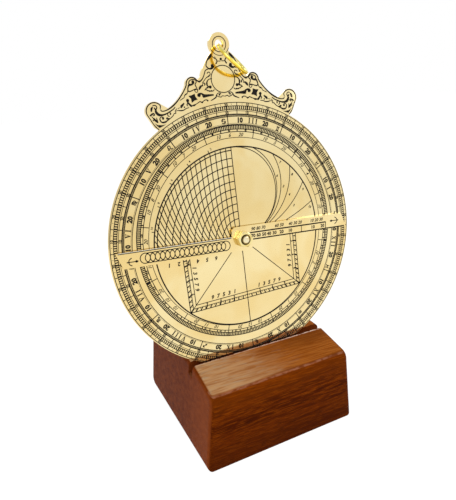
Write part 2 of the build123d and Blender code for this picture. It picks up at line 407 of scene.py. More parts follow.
@dataclass(frozen=True)
class FittingBrass(Brass):
    """Bright yellow brass with painted light: a painted highlight where it looks up, painted shade in
    olive where it looks down, and a painted shadow ring round the bolt.

    Attributes:
        pale: Tone of the painted highlight where it looks up.
        shade_and_tarnish: Tone of the painted shade where it looks down, also the colour of its tarnish
            specks.
        shadow: Tone of the painted shadow ring round the bolt's end.
        shadow_ring_from: Distance from the bolt's axis at which the painted shadow ring starts.
        shadow_ring_to: Distance at which it ends.
    """

    # Tones of the painted highlight, the painted shade and the painted shadow ring.
    pale: Colour = (246, 246, 208)
    shade_and_tarnish: Colour = (128, 100, 20)
    shadow: Colour = (104, 80, 16)
    shadow_ring_from: float = 50.0
    shadow_ring_to: float = 60.0

    def material(self) -> bpy.types.Material:
        """Makes the material.

        Returns:
            A smooth metal whose tone follows the way that it faces.
        """
        paint = Paint(self.name)
        height = paint.facing()[2]
        drift = paint.noise(paint.stretched((self.clouds * 6,) * 3), 3.0, 0.8).between(0.36, 0.66)
        specks = paint.noise(paint.stretched((1500.0,) * 3), 3.0).between(0.62, 0.76)
        colour = paint.blend(drift * 0.7, srgb(*self.tone), srgb(*self.warm))
        # Painted highlight where it looks up, painted shade where it looks down, painted shadow ring round
        # the bolt.
        colour = paint.blend(height.between(0.2, 0.8) * 0.85, colour, srgb(*self.pale))
        colour = paint.blend((0 - height).between(0.05, 0.7) * 0.9, colour, srgb(*self.shade_and_tarnish))
        colour = paint.blend(self.shadow_ring_share(paint) * 0.9, colour, srgb(*self.shadow))
        colour = paint.blend(specks * self.tarnish, colour, srgb(*self.shade_and_tarnish))
        paint.shade({"Base Color": colour, "Roughness": self.gloss + self.haze * drift, "Metallic": 1.0})
        return paint.material

    def shadow_ring_share(self, paint: Paint) -> Value:
        """Gives one in the painted shadow ring round the bolt's axis, and else nought.

        Args:
            paint: The material's nodes.

        Returns:
            A mask of 0 to 1.
        """
        radius = paint.away(HUB * MM, (0.0, -math.cos(LEAN), math.sin(LEAN)))
        soft = 0.12
        inner = radius.between((self.shadow_ring_from - soft) * MM, (self.shadow_ring_from + soft) * MM)
        outer = radius.between((self.shadow_ring_to - soft) * MM, (self.shadow_ring_to + soft) * MM)
        return inner * (1 - outer)


@dataclass(frozen=True)
class Enamel:
    """Black filling of the engraved lines, a little uneven and worn brown in places."""

    name: str = "engraving_fill"
    black: Colour = (22, 18, 14)
    worn: Colour = (66, 50, 30)

    def material(self) -> bpy.types.Material:
        """Makes the material.

        Returns:
            A satin black that is thin in places.
        """
        paint = Paint(self.name)
        thin = paint.noise(paint.stretched((420.0,) * 3), 3.0).between(0.5, 0.78)
        grain = paint.noise(paint.stretched((4200.0,) * 3), 2.0)
        paint.shade(
            {
                "Base Color": paint.blend(thin * 0.5, srgb(*self.black), srgb(*self.worn)),
                "Roughness": 0.42 + 0.2 * grain,
                "Specular IOR Level": 0.1,
            }
        )
        paint.bump(grain, 0.000004)
        return paint.material


@dataclass(frozen=True)
class Hardwood:
    """Oiled hardwood with its grain along x, the raw faces of the saw cut, and painted light and shade: a
    lighter top and darker foot, painted glare mixed with wear on the top, painted shade beside the slot
    and painted highlights along the front edge and the slot.

    Attributes:
        name: Name of its material.
        mid: The wood's usual tone.
        dark: Its dark bands.
        light: Its light streaks.
        low: Painted shade near the foot.
        end: End grain.
        end_dark: Dark end grain.
        glare_and_wear: Painted glare on the top, mixed with real wear, strongest at the left.
        glow: The top where the light falls on it.
        worn: Painted highlight on the rounding of the front edge.
        raw: Torn fibres at the mouth of the cut.
        shaded: The top beside the slot.
        slot_highlight_tone: Painted highlight along the slot's front edge.
        torn_dark: The dark between torn fibres.
        wall: The slot's wall.
        wall_dark: Dark places of the wall.
        slope: Degrees that the grain is turned about each axis.
        shade_start: Where the top starts to darken towards the slot.
        shade_full: Where it is darkest.
        slot_front: The slot's front edge.
        lip: Width of the painted highlight along it.
        cut_middle: Middle of the saw cut.
        cut_half: Half its width.
        cut_floor: Height of its floor.
        mouth_at: Where the cut comes out at the left end.
        front_line: The top's front edge.
    """

    name: str = "oiled_hardwood"
    mid: Colour = (101, 40, 2)
    dark: Colour = (70, 22, 1)
    light: Colour = (134, 62, 4)
    # Painted shade near the foot.
    low: Colour = (70, 24, 1)
    end: Colour = (122, 58, 24)
    end_dark: Colour = (82, 32, 12)
    # Painted glare on the top, mixed with wear.
    glare_and_wear: Colour = (186, 146, 104)
    glow: Colour = (166, 98, 38)
    # Painted highlight on the rounding of the front edge.
    worn: Colour = (196, 142, 112)
    raw: Colour = (214, 186, 158)
    shaded: Colour = (104, 50, 10)
    # Painted highlight along the slot's front edge.
    slot_highlight_tone: Colour = (224, 198, 184)
    torn_dark: Colour = (60, 26, 14)
    wall: Colour = (112, 50, 16)
    wall_dark: Colour = (84, 36, 12)
    slope: tuple[float, float, float] = (0.0, -1.6, 2.2)
    shade_start: float = -40.0
    shade_full: float = -26.0
    slot_front: float = -24.0
    lip: float = 0.95
    cut_middle: float = -21.4
    cut_half: float = 2.62
    cut_floor: float = 45.1
    mouth_at: float = -44.8
    front_line: float = -44.0

    def material(self) -> bpy.types.Material:
        """Makes the material.

        Returns:
            Wood with bands, streaks and pores, paler where it was sawn, with painted light, shade, glare
            and highlights over it.
        """
        paint = Paint(self.name)
        slope = self.slope
        place = paint.split(paint.place)
        facing = paint.facing()
        bands = paint.noise(paint.stretched((9.0, 150.0, 190.0), slope), 3.0, 0.7)
        streaks = paint.noise(paint.stretched((64.0, 1250.0, 1400.0), slope), 3.0, 0.35)
        fibres = paint.noise(paint.stretched((150.0, 2600.0, 3000.0), slope), 3.0)
        pores = paint.noise(paint.stretched((100.0, 1500.0, 1700.0), slope), 1.0).between(0.6, 0.7)
        colour = paint.blend(bands.between(0.34, 0.62), srgb(*self.dark), srgb(*self.mid))
        colour = paint.blend(streaks.between(0.46, 0.66) * 0.6, colour, srgb(*self.light))
        colour = paint.blend(fibres.between(0.48, 0.64) * 0.62, colour, srgb(58, 17, 1))
        colour = paint.blend(pores * 0.6, colour, srgb(44, 14, 1))
        # Painted light on the upper part of the block and painted shade towards its foot.
        top_light_mask = place[2].between(0.030, 0.046)
        colour = paint.blend(top_light_mask * 0.34, colour, srgb(*self.light))
        foot_shade_mask = 1 - place[2].between(0.004, 0.030)
        colour = paint.blend(foot_shade_mask * 0.52, colour, srgb(*self.low))
        colour = self.ends(paint, colour, facing, place)
        colour = self.top(paint, colour, facing, place, streaks)
        across = abs(place[1] - self.cut_middle * MM)
        torn = paint.noise(paint.stretched((520.0, 900.0, 900.0)), 3.0)
        edge = (self.cut_half + 0.9 * torn.between(0.3, 0.8)) * MM
        in_cut = (edge - across).between(0.0, 0.0002) * place[2].between(
            (self.cut_floor - 0.3) * MM, self.cut_floor * MM
        )
        sawn = paint.noise(paint.stretched((1300.0, 900.0, 2600.0)), 3.0)
        raw = paint.blend(sawn.between(0.4, 0.6), srgb(*self.raw), srgb(*self.torn_dark))
        wall = paint.blend(sawn.between(0.35, 0.65), srgb(*self.wall), srgb(*self.wall_dark))
        mouth = 1 - place[0].between(self.mouth_at * MM, (self.mouth_at + 1.4) * MM)
        raw = paint.blend(mouth, wall, raw)
        paint.shade(
            {
                "Base Color": paint.blend(in_cut * 0.85, colour, raw),
                "Roughness": 0.34 + 0.16 * streaks + 0.35 * in_cut,
                "Specular IOR Level": 0.01,
            }
        )
        paint.bump(0.5 * fibres + 0.3 * streaks + 0.9 * sawn * in_cut - 0.6 * pores, 0.00005)
        return paint.material

    def ends(
        self, paint: Paint, colour: object, facing: Sequence[Value], place: Sequence[Value]
    ) -> bpy.types.NodeSocket:
        """Lays the mottled end grain over the two ends.

        Args:
            paint: The material's nodes.
            colour: The colour so far.
            facing: Which way the surface faces, along each axis.
            place: Where it is, along each axis.

        Returns:
            The colour with the end grain in it.
        """
        share = abs(facing[0]).between(0.55, 0.93)
        mottle = paint.noise(paint.stretched((420.0, 290.0, 380.0)), 5.0, 0.4)
        rings = paint.noise(paint.stretched((60.0, 90.0, 520.0), (24.0, 0.0, 0.0)), 3.0, 1.2)
        grain = paint.blend(mottle.between(0.16, 0.84), srgb(*self.end_dark), srgb(*self.end))
        grain = paint.blend(rings.between(0.52, 0.7) * 0.3, grain, srgb(84, 34, 14))
        near = 1 - place[1].between(-0.045, -0.01)
        grain = paint.blend(near * 0.45, grain, srgb(140, 68, 26))
        flecks = paint.noise(paint.stretched((1500.0, 1100.0, 1500.0)), 2.0).between(0.68, 0.76)
        grain = paint.blend(flecks * 0.35, grain, srgb(168, 112, 84))
        return paint.blend(share, colour, grain)

    def top(
        self,
        paint: Paint,
        colour: object,
        facing: Sequence[Value],
        place: Sequence[Value],
        streaks: Value,
    ) -> bpy.types.NodeSocket:
        """Paints light on the flat top, painted glare mixed with wear, painted shade beside the slot, and
        painted highlights along the slot and the front edge.

        Args:
            paint: The material's nodes.
            colour: The colour so far.
            facing: Which way the surface faces, along each axis.
            place: Where it is, along each axis.
            streaks: The streaks of the grain.

        Returns:
            The colour with the rubbed places in it.
        """
        slope = self.slope
        flat = facing[2].between(0.8, 0.97)
        lit = paint.blend(streaks.between(0.34, 0.64), srgb(138, 72, 18), srgb(*self.glow))
        colour = paint.blend(flat * 0.82, colour, lit)
        # Painted glare mixed with wear on the flat top, strongest at the left and broken up by noise.
        cloud = paint.noise(paint.stretched((16.0, 70.0, 60.0), slope), 3.0, 0.6)
        glare_and_scuff_noise = paint.noise(paint.stretched((70.0, 640.0, 640.0), slope), 4.0, 0.5)
        left = 1 - place[0].between(-0.045, 0.040)
        worn = (0.9 * left + 0.9 * (cloud - 0.5)).between(0.18, 0.92)
        glare_and_scuff_mask = flat * worn * (0.45 + 0.55 * glare_and_scuff_noise.between(0.35, 0.6))
        colour = paint.blend(glare_and_scuff_mask, colour, srgb(*self.glare_and_wear))
        # Grey patches of painted glare on the left of the top.
        glare_and_wear_patches = paint.noise(paint.stretched((120.0, 700.0, 600.0), slope), 3.0, 0.4).between(0.5, 0.7)
        colour = paint.blend(flat * glare_and_wear_patches * left * 0.5, colour, srgb(160, 146, 124))
        low, high = self.slot_front - 0.5, self.slot_front + 0.5
        by_slot = place[1].between(self.shade_start * MM, self.shade_full * MM)
        by_slot = by_slot * (1 - place[1].between(low * MM, high * MM))
        to_right = place[0].between(-0.015, 0.045)
        colour = paint.blend(flat * by_slot * to_right * 0.75, colour, srgb(*self.shaded))
        # Painted highlight along the slot's front edge, brighter to the right.
        low, high = self.slot_front - self.lip, self.slot_front
        lip = place[1].between(low * MM, (low + 0.3) * MM)
        lip = lip * (1 - place[1].between((high - 0.2) * MM, (high + 0.1) * MM))
        lip = lip * (0.35 + 0.65 * place[0].between(-0.03, 0.04))
        colour = paint.blend(flat * lip * 0.7, colour, srgb(*self.slot_highlight_tone))
        # Painted highlight along the rounding of the front edge, broken up by noise.
        turned = facing[2].between(0.66, 0.74) * (1 - facing[2].between(0.8, 0.88))
        front = 1 - place[1].between(self.front_line * MM, (self.front_line + 1.0) * MM)
        broken_highlight = paint.noise(paint.stretched((260.0, 500.0, 500.0)), 3.0).between(0.36, 0.6)
        return paint.blend(turned * front * (0.06 + 0.24 * broken_highlight), colour, srgb(*self.worn))


# Drawing on the faces


@dataclass(frozen=True)
class Face:
    """A flat face that is drawn on, front or back.

    Attributes:
        level: How far the face lies in front of the engraved face.
        turn: Degrees that its x axis is turned from level, as seen from the front.
        behind: Whether it is the far side, where x runs the other way.
    """

    level: float = 0.0
    turn: float = ROLL
    behind: bool = False

    def axes(self) -> tuple[Vector, Vector, Vector]:
        """Gives the directions of x, of y and out of the face, as its reader sees them."""
        turn = math.radians(self.turn)
        rise = math.sin(turn)
        across = Vector((math.cos(turn), rise * math.sin(LEAN), rise * math.cos(LEAN)))
        out = Vector((0.0, -math.cos(LEAN), math.sin(LEAN)))
        up = out.cross(across)
        return (-across, up, -out) if self.behind else (across, up, out)

    def at(self, x: float, y: float, lift: float = 0.0) -> Vector:
        """Gives a point of the face in the frame, in metres.

        Args:
            x: Across the face.
            y: Up the face.
            lift: Out of the face.

        Returns:
            The point.
        """
        across, up, out = self.axes()
        front = -out if self.behind else out
        return (HUB + front * self.level + across * x + up * y + out * lift) * MM


@dataclass(frozen=True)
class Spot:
    """A place on a face where a mark is set, with its size and its slope.

    Attributes:
        x: Across the face.
        y: Up the face.
        turn: Degrees clockwise.
        size: Scale of the mark.
    """

    x: float
    y: float
    turn: float = 0.0
    size: float = 1.0

    @classmethod
    def on_dial(cls, radius: float, angle: float, size: float, centre: Point = (0.0, 0.0)) -> "Spot":
        """Sets a mark on a dial with its top outwards.

        Args:
            radius: Distance from the centre.
            angle: Degrees clockwise from the top.
            size: Scale of the mark.
            centre: Middle of the dial.

        Returns:
            The place.
        """
        x, y = polar(radius, angle, centre)
        return cls(x, y, angle, size)

    def set(self, mark: Sequence[float]) -> tuple[float, ...]:
        """Moves a mark's point to this place.

        Args:
            mark: Across and up, then a width if there is one.

        Returns:
            The point on the face, its width scaled too.
        """
        turn = math.radians(self.turn)
        across, up = mark[0] * self.size, mark[1] * self.size
        x = self.x + across * math.cos(turn) + up * math.sin(turn)
        y = self.y - across * math.sin(turn) + up * math.cos(turn)
        return (x, y, *(width * self.size for width in mark[2:]))


class Figures:
    """Plain figures cut from Blender's own letter, each word made once."""

    made: dict[tuple[str, float, float], tuple[list[Vector], list[tuple[int, ...]]]] = {}

    @classmethod
    def cut(cls, word: str, slope: float, weight: float) -> tuple[list[Vector], list[tuple[int, ...]]]:
        """Gives a number as a flat block one unit high and one thick.

        Args:
            word: The number.
            slope: How far the figures lean.
            weight: How bold they are, 0 to 1.

        Returns:
            Points and faces.
        """
        if (word, slope, weight) not in cls.made:
            curve = bpy.data.curves.new("figures", "FONT")
            curve.body = word
            curve.shear = slope
            curve.align_x = "CENTER"
            curve.resolution_u = 2
            curve.offset = 0.012 + 0.03 * weight
            curve.extrude = 0.5
            holder = bpy.data.objects.new("figures", curve)
            mesh = bpy.data.meshes.new_from_object(holder)
            height = 0.73
            points = [
                Vector((v.co.x / height, v.co.y / height - 0.5, v.co.z + 0.5)) for v in mesh.vertices
            ]
            faces = [tuple(side.vertices) for side in mesh.polygons]
            cls.made[(word, slope, weight)] = (points, faces)
            bpy.data.meshes.remove(mesh)
            bpy.data.objects.remove(holder)
            bpy.data.curves.remove(curve)
        return cls.made[(word, slope, weight)]


@dataclass
class Inlay:
    """Filled line work on one face, gathered into one mesh of thin closed blocks."""

    name: str
    face: Face
    proud: float = 0.02
    sunk: float = 0.01
    points: list[Vector] = field(default_factory=list)
    sides: list[tuple[int, ...]] = field(default_factory=list)

    def patch(self, outline: Sequence[Sequence[float]]) -> None:
        """Adds a filled shape.

        Args:
            outline: Its corners in order, either way round.
        """
        ring = [(corner[0], corner[1]) for corner in outline]
        twice = sum(a[0] * b[1] - b[0] * a[1] for a, b in zip(ring, ring[1:] + ring[:1]))
        if twice < 0:
            ring.reverse()
        count, first = len(ring), len(self.points)
        self.points += [self.face.at(x, y, self.proud) for x, y in ring]
        self.points += [self.face.at(x, y, -self.sunk) for x, y in ring]
        self.sides.append(tuple(range(first, first + count)))
        self.sides.append(tuple(range(first + 2 * count - 1, first + count - 1, -1)))
        for i in range(count):
            j = (i + 1) % count
            self.sides.append((first + count + i, first + count + j, first + j, first + i))

    def band(self, left: Sequence[Point], right: Sequence[Point], closed: bool = False) -> None:
        """Adds a strip between two lines of points.

        Args:
            left: Points on its left side, seen along it.
            right: As many points on its right side.
            closed: Whether its end joins its start.
        """
        count, first = len(left), len(self.points)
        for lift in (self.proud, -self.sunk):
            for edge in (left, right):
                self.points += [self.face.at(x, y, lift) for x, y in edge]
        for i in range(count if closed else count - 1):
            j = (i + 1) % count
            a, b = first + i, first + j
            c, d = a + count, b + count
            e, f, g, h = a + 2 * count, b + 2 * count, c + 2 * count, d + 2 * count
            self.sides += [(c, d, b, a), (g, h, d, c), (f, e, a, b), (e, f, h, g)]
        if not closed:
            a, c = first, first + count
            e, g = a + 2 * count, c + 2 * count
            self.sides.append((e, g, c, a))
            a, c, e, g = a + count - 1, c + count - 1, e + count - 1, g + count - 1
            self.sides.append((g, e, a, c))

    def line(self, route: Sequence[Sequence[float]], width: float = 0.3, closed: bool = False) -> None:
        """Adds a line through points.

        Args:
            route: Its points; a third value is the line's width there.
            width: Its width where a point gives none.
            closed: Whether its end joins its start.
        """
        left: list[Point] = []
        right: list[Point] = []
        last = len(route) - 1
        for i, spot in enumerate(route):
            before = route[i - 1] if i or closed else spot
            after = route[(i + 1) % len(route)] if i < last or closed else spot
            along = Vector((after[0] - before[0], after[1] - before[1]))
            if along.length < 1e-9:
                along = Vector((1.0, 0.0))
            along.normalize()
            half = (spot[2] if len(spot) > 2 else width) / 2
            left.append((spot[0] - along.y * half, spot[1] + along.x * half))
            right.append((spot[0] + along.y * half, spot[1] - along.x * half))
        self.band(left, right, closed)

    def ring(
        self,
        radius: float,
        width: float = 0.3,
        centre: Point = (0.0, 0.0),
        start: float = 0.0,
        end: float = 360.0,
        step: float = 3.0,
    ) -> None:
        """Adds a circle, or an arc of one.

        Args:
            radius: Middle of the line.
            width: Width of the line.
            centre: Middle of the circle.
            start: Where an arc starts, in degrees clockwise from the top.
            end: Where it ends.
            step: Degrees between its points.
        """
        whole = abs(end - start) >= 360
        count = max(2, round(abs(end - start) / step))
        stops = range(count) if whole else range(count + 1)
        angles = [start + (end - start) * i / count for i in stops]
        outer = [polar(radius + width / 2, angle, centre) for angle in angles]
        inner = [polar(radius - width / 2, angle, centre) for angle in angles]
        self.band(outer, inner, whole)

    def ticks(
        self,
        inner: float,
        outer: float,
        count: int,
        width: float = 0.22,
        centre: Point = (0.0, 0.0),
        skip: Callable[[int], bool] = lambda index: False,
    ) -> None:
        """Adds short lines all round a dial.

        Args:
            inner: Radius of their inner ends.
            outer: Radius of their outer ends.
            count: How many there are in a whole turn.
            width: Width of each.
            centre: Middle of the dial.
            skip: Says of an index whether its line is left out.
        """
        for index in range(count):
            if not skip(index):
                angle = 360 * index / count
                self.line([polar(inner, angle, centre), polar(outer, angle, centre)], width)

    def blocks(self, inner: float, outer: float, count: int, share: float = 0.5) -> None:
        """Adds black blocks all round a dial, with bare ones between them.

        Args:
            inner: Radius of their inner side.
            outer: Radius of their outer side.
            count: How many there are in a whole turn.
            share: How much of each division is black.
        """
        for index in range(count):
            start, end = 360 * index / count, 360 * (index + share) / count
            self.band(
                [polar(outer, start), polar(outer, end)], [polar(inner, start), polar(inner, end)]
            )

    def dot(self, x: float, y: float, radius: float, corners: int = 12) -> None:
        """Adds a round spot.

        Args:
            x: Across the face.
            y: Up the face.
            radius: Its radius.
            corners: How many corners it is drawn with.
        """
        self.patch([polar(radius, 360 * i / corners, (x, y)) for i in range(corners)])

    def number(self, word: str, spot: Spot, slope: float = 0.0, weight: float = 0.3) -> None:
        """Adds a number.

        Args:
            word: The number.
            spot: Where its middle is; the spot's size is the height of a figure.
            slope: How far the figures lean.
            weight: How bold they are, 0 to 1.
        """
        cut, faces = Figures.cut(word, slope, weight)
        first = len(self.points)
        rise = self.proud + self.sunk
        for corner in cut:
            x, y = spot.set((corner.x, corner.y))
            self.points.append(self.face.at(x, y, corner.z * rise - self.sunk))
        self.sides += [tuple(first + corner for corner in side) for side in faces]

    def lay(self, body: str, fill: bpy.types.Material) -> bpy.types.Object:
        """Makes the mesh and puts it on its face.

        Args:
            body: The body that it moves with.
            fill: What fills the lines.

        Returns:
            The new piece.
        """
        mesh = bpy.data.meshes.new(self.name)
        mesh.from_pydata([tuple(point) for point in self.points], [], self.sides)
        mesh.materials.append(fill)
        mesh.update()
        piece = bpy.data.objects.new(self.name, mesh)
        bpy.context.scene.collection.objects.link(piece)
        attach(piece, body)
        LOG.info("%s: %d faces on %s", self.name, len(mesh.polygons), body)
        return piece


# Letters, signs and the throne's scrolls

NUMERAL_WIDTH: dict[str, float] = {"I": 0.4, "V": 0.78, "X": 0.8}
NUMERAL_SHAPE: dict[str, tuple[tuple[Point, ...], ...]] = {
    "I": (
        (
            (0.0, 0), (0.4, 0), (0.4, 0.07), (0.31, 0.1), (0.31, 0.9), (0.4, 0.93),
            (0.4, 1), (0.0, 1), (0.0, 0.93), (0.09, 0.9), (0.09, 0.1), (0.0, 0.07),
        ),
    ),
    "V": (
        (
            (0.0, 1), (0.38, 1), (0.38, 0.93), (0.31, 0.9), (0.46, 0.34), (0.59, 0.9),
            (0.5, 0.93), (0.5, 1), (0.8, 1), (0.8, 0.93), (0.71, 0.9), (0.44, 0),
            (0.33, 0), (0.06, 0.9), (0.0, 0.93),
        ),
    ),
    "X": (
        (
            (0.0, 1), (0.38, 1), (0.38, 0.93), (0.31, 0.9), (0.75, 0.1), (0.82, 0.07),
            (0.82, 0), (0.44, 0), (0.44, 0.07), (0.51, 0.1), (0.06, 0.9), (0.0, 0.93),
        ),
        (
            (0.5, 1), (0.8, 1), (0.8, 0.93), (0.71, 0.9), (0.2, 0.1), (0.29, 0.07),
            (0.29, 0), (0.0, 0), (0.0, 0.07), (0.07, 0.1), (0.6, 0.9), (0.5, 0.93),
        ),
    ),
}


@dataclass(frozen=True)
class SignMark:
    """The old mark of one twelfth of the year: its strokes and circles in a unit square."""

    strokes: tuple[tuple[Point, ...], ...]
    circles: tuple[Knot, ...] = ()


TWELFTHS: tuple[tuple[str, SignMark], ...] = (
    (
        "III",
        SignMark(
            (
                ((0.32, 0.1), (0.32, 0.9)),
                ((0.68, 0.1), (0.68, 0.9)),
                ((0.1, 1.0), (0.5, 0.87), (0.9, 1.0)),
                ((0.1, 0.0), (0.5, 0.13), (0.9, 0.0)),
            )
        ),
    ),
    (
        "II",
        SignMark(
            (((0.1, 1.0), (0.28, 0.72), (0.5, 0.62), (0.72, 0.72), (0.9, 1.0)),),
            ((0.5, 0.31, 0.29),),
        ),
    ),
    (
        "I",
        SignMark(
            (
                ((0.5, 0.0), (0.49, 0.6), (0.36, 0.95), (0.14, 0.9), (0.12, 0.66)),
                ((0.5, 0.0), (0.51, 0.6), (0.64, 0.95), (0.86, 0.9), (0.88, 0.66)),
            )
        ),
    ),
    (
        "XII",
        SignMark(
            (
                ((0.12, 1.0), (0.34, 0.5), (0.12, 0.0)),
                ((0.88, 1.0), (0.66, 0.5), (0.88, 0.0)),
                ((0.12, 0.5), (0.88, 0.5)),
            )
        ),
    ),
    (
        "XI",
        SignMark(
            (
                ((0.0, 0.6), (0.2, 0.82), (0.35, 0.6), (0.55, 0.82), (0.7, 0.6), (0.95, 0.82)),
                ((0.0, 0.22), (0.2, 0.44), (0.35, 0.22), (0.55, 0.44), (0.7, 0.22), (0.95, 0.44)),
            )
        ),
    ),
    (
        "X",
        SignMark(
            (
                ((0.02, 0.95), (0.2, 0.72), (0.22, 0.2)),
                ((0.22, 0.7), (0.42, 0.95), (0.52, 0.6), (0.5, 0.24), (0.34, 0.0)),
            ),
            ((0.72, 0.26, 0.2),),
        ),
    ),
    (
        "IX",
        SignMark(
            (
                ((0.08, 0.04), (0.92, 0.94)),
                ((0.5, 0.95), (0.93, 0.95)),
                ((0.93, 0.95), (0.93, 0.52)),
                ((0.14, 0.5), (0.52, 0.14)),
            )
        ),
    ),
    (
        "VIII",
        SignMark(
            (
                ((0.02, 0.92), (0.14, 0.76), (0.14, 0.1)),
                ((0.14, 0.78), (0.3, 0.95), (0.4, 0.76), (0.4, 0.1)),
                ((0.4, 0.78), (0.56, 0.95), (0.66, 0.76), (0.66, 0.18), (0.8, 0.02), (1.0, 0.24)),
            )
        ),
    ),
    (
        "VII",
        SignMark(
            (
                ((0.0, 0.08), (1.0, 0.08)),
                (
                    (0.0, 0.34), (0.34, 0.36), (0.22, 0.64), (0.5, 0.94), (0.78, 0.64), (0.66, 0.36),
                    (1.0, 0.34),
                ),
            )
        ),
    ),
    (
        "VI",
        SignMark(
            (
                ((0.02, 0.92), (0.12, 0.76), (0.12, 0.1)),
                ((0.12, 0.78), (0.26, 0.95), (0.36, 0.76), (0.36, 0.1)),
                ((0.36, 0.78), (0.5, 0.95), (0.6, 0.76), (0.6, 0.2), (0.84, -0.05)),
                ((0.6, 0.66), (0.84, 0.72), (0.88, 0.42), (0.5, 0.0)),
            )
        ),
    ),
    (
        "V",
        SignMark(
            (
                (
                    (0.34, 0.46), (0.18, 0.78), (0.46, 1.0), (0.76, 0.76), (0.62, 0.3), (0.76, 0.02),
                    (0.98, 0.16),
                ),
            ),
            ((0.2, 0.32, 0.17),),
        ),
    ),
    (
        "IV",
        SignMark(
            (
                ((0.06, 0.72), (0.36, 0.98), (0.94, 0.84)),
                ((0.94, 0.28), (0.64, 0.02), (0.06, 0.16)),
            ),
            ((0.22, 0.62, 0.16), (0.78, 0.38, 0.16)),
        ),
    ),
)

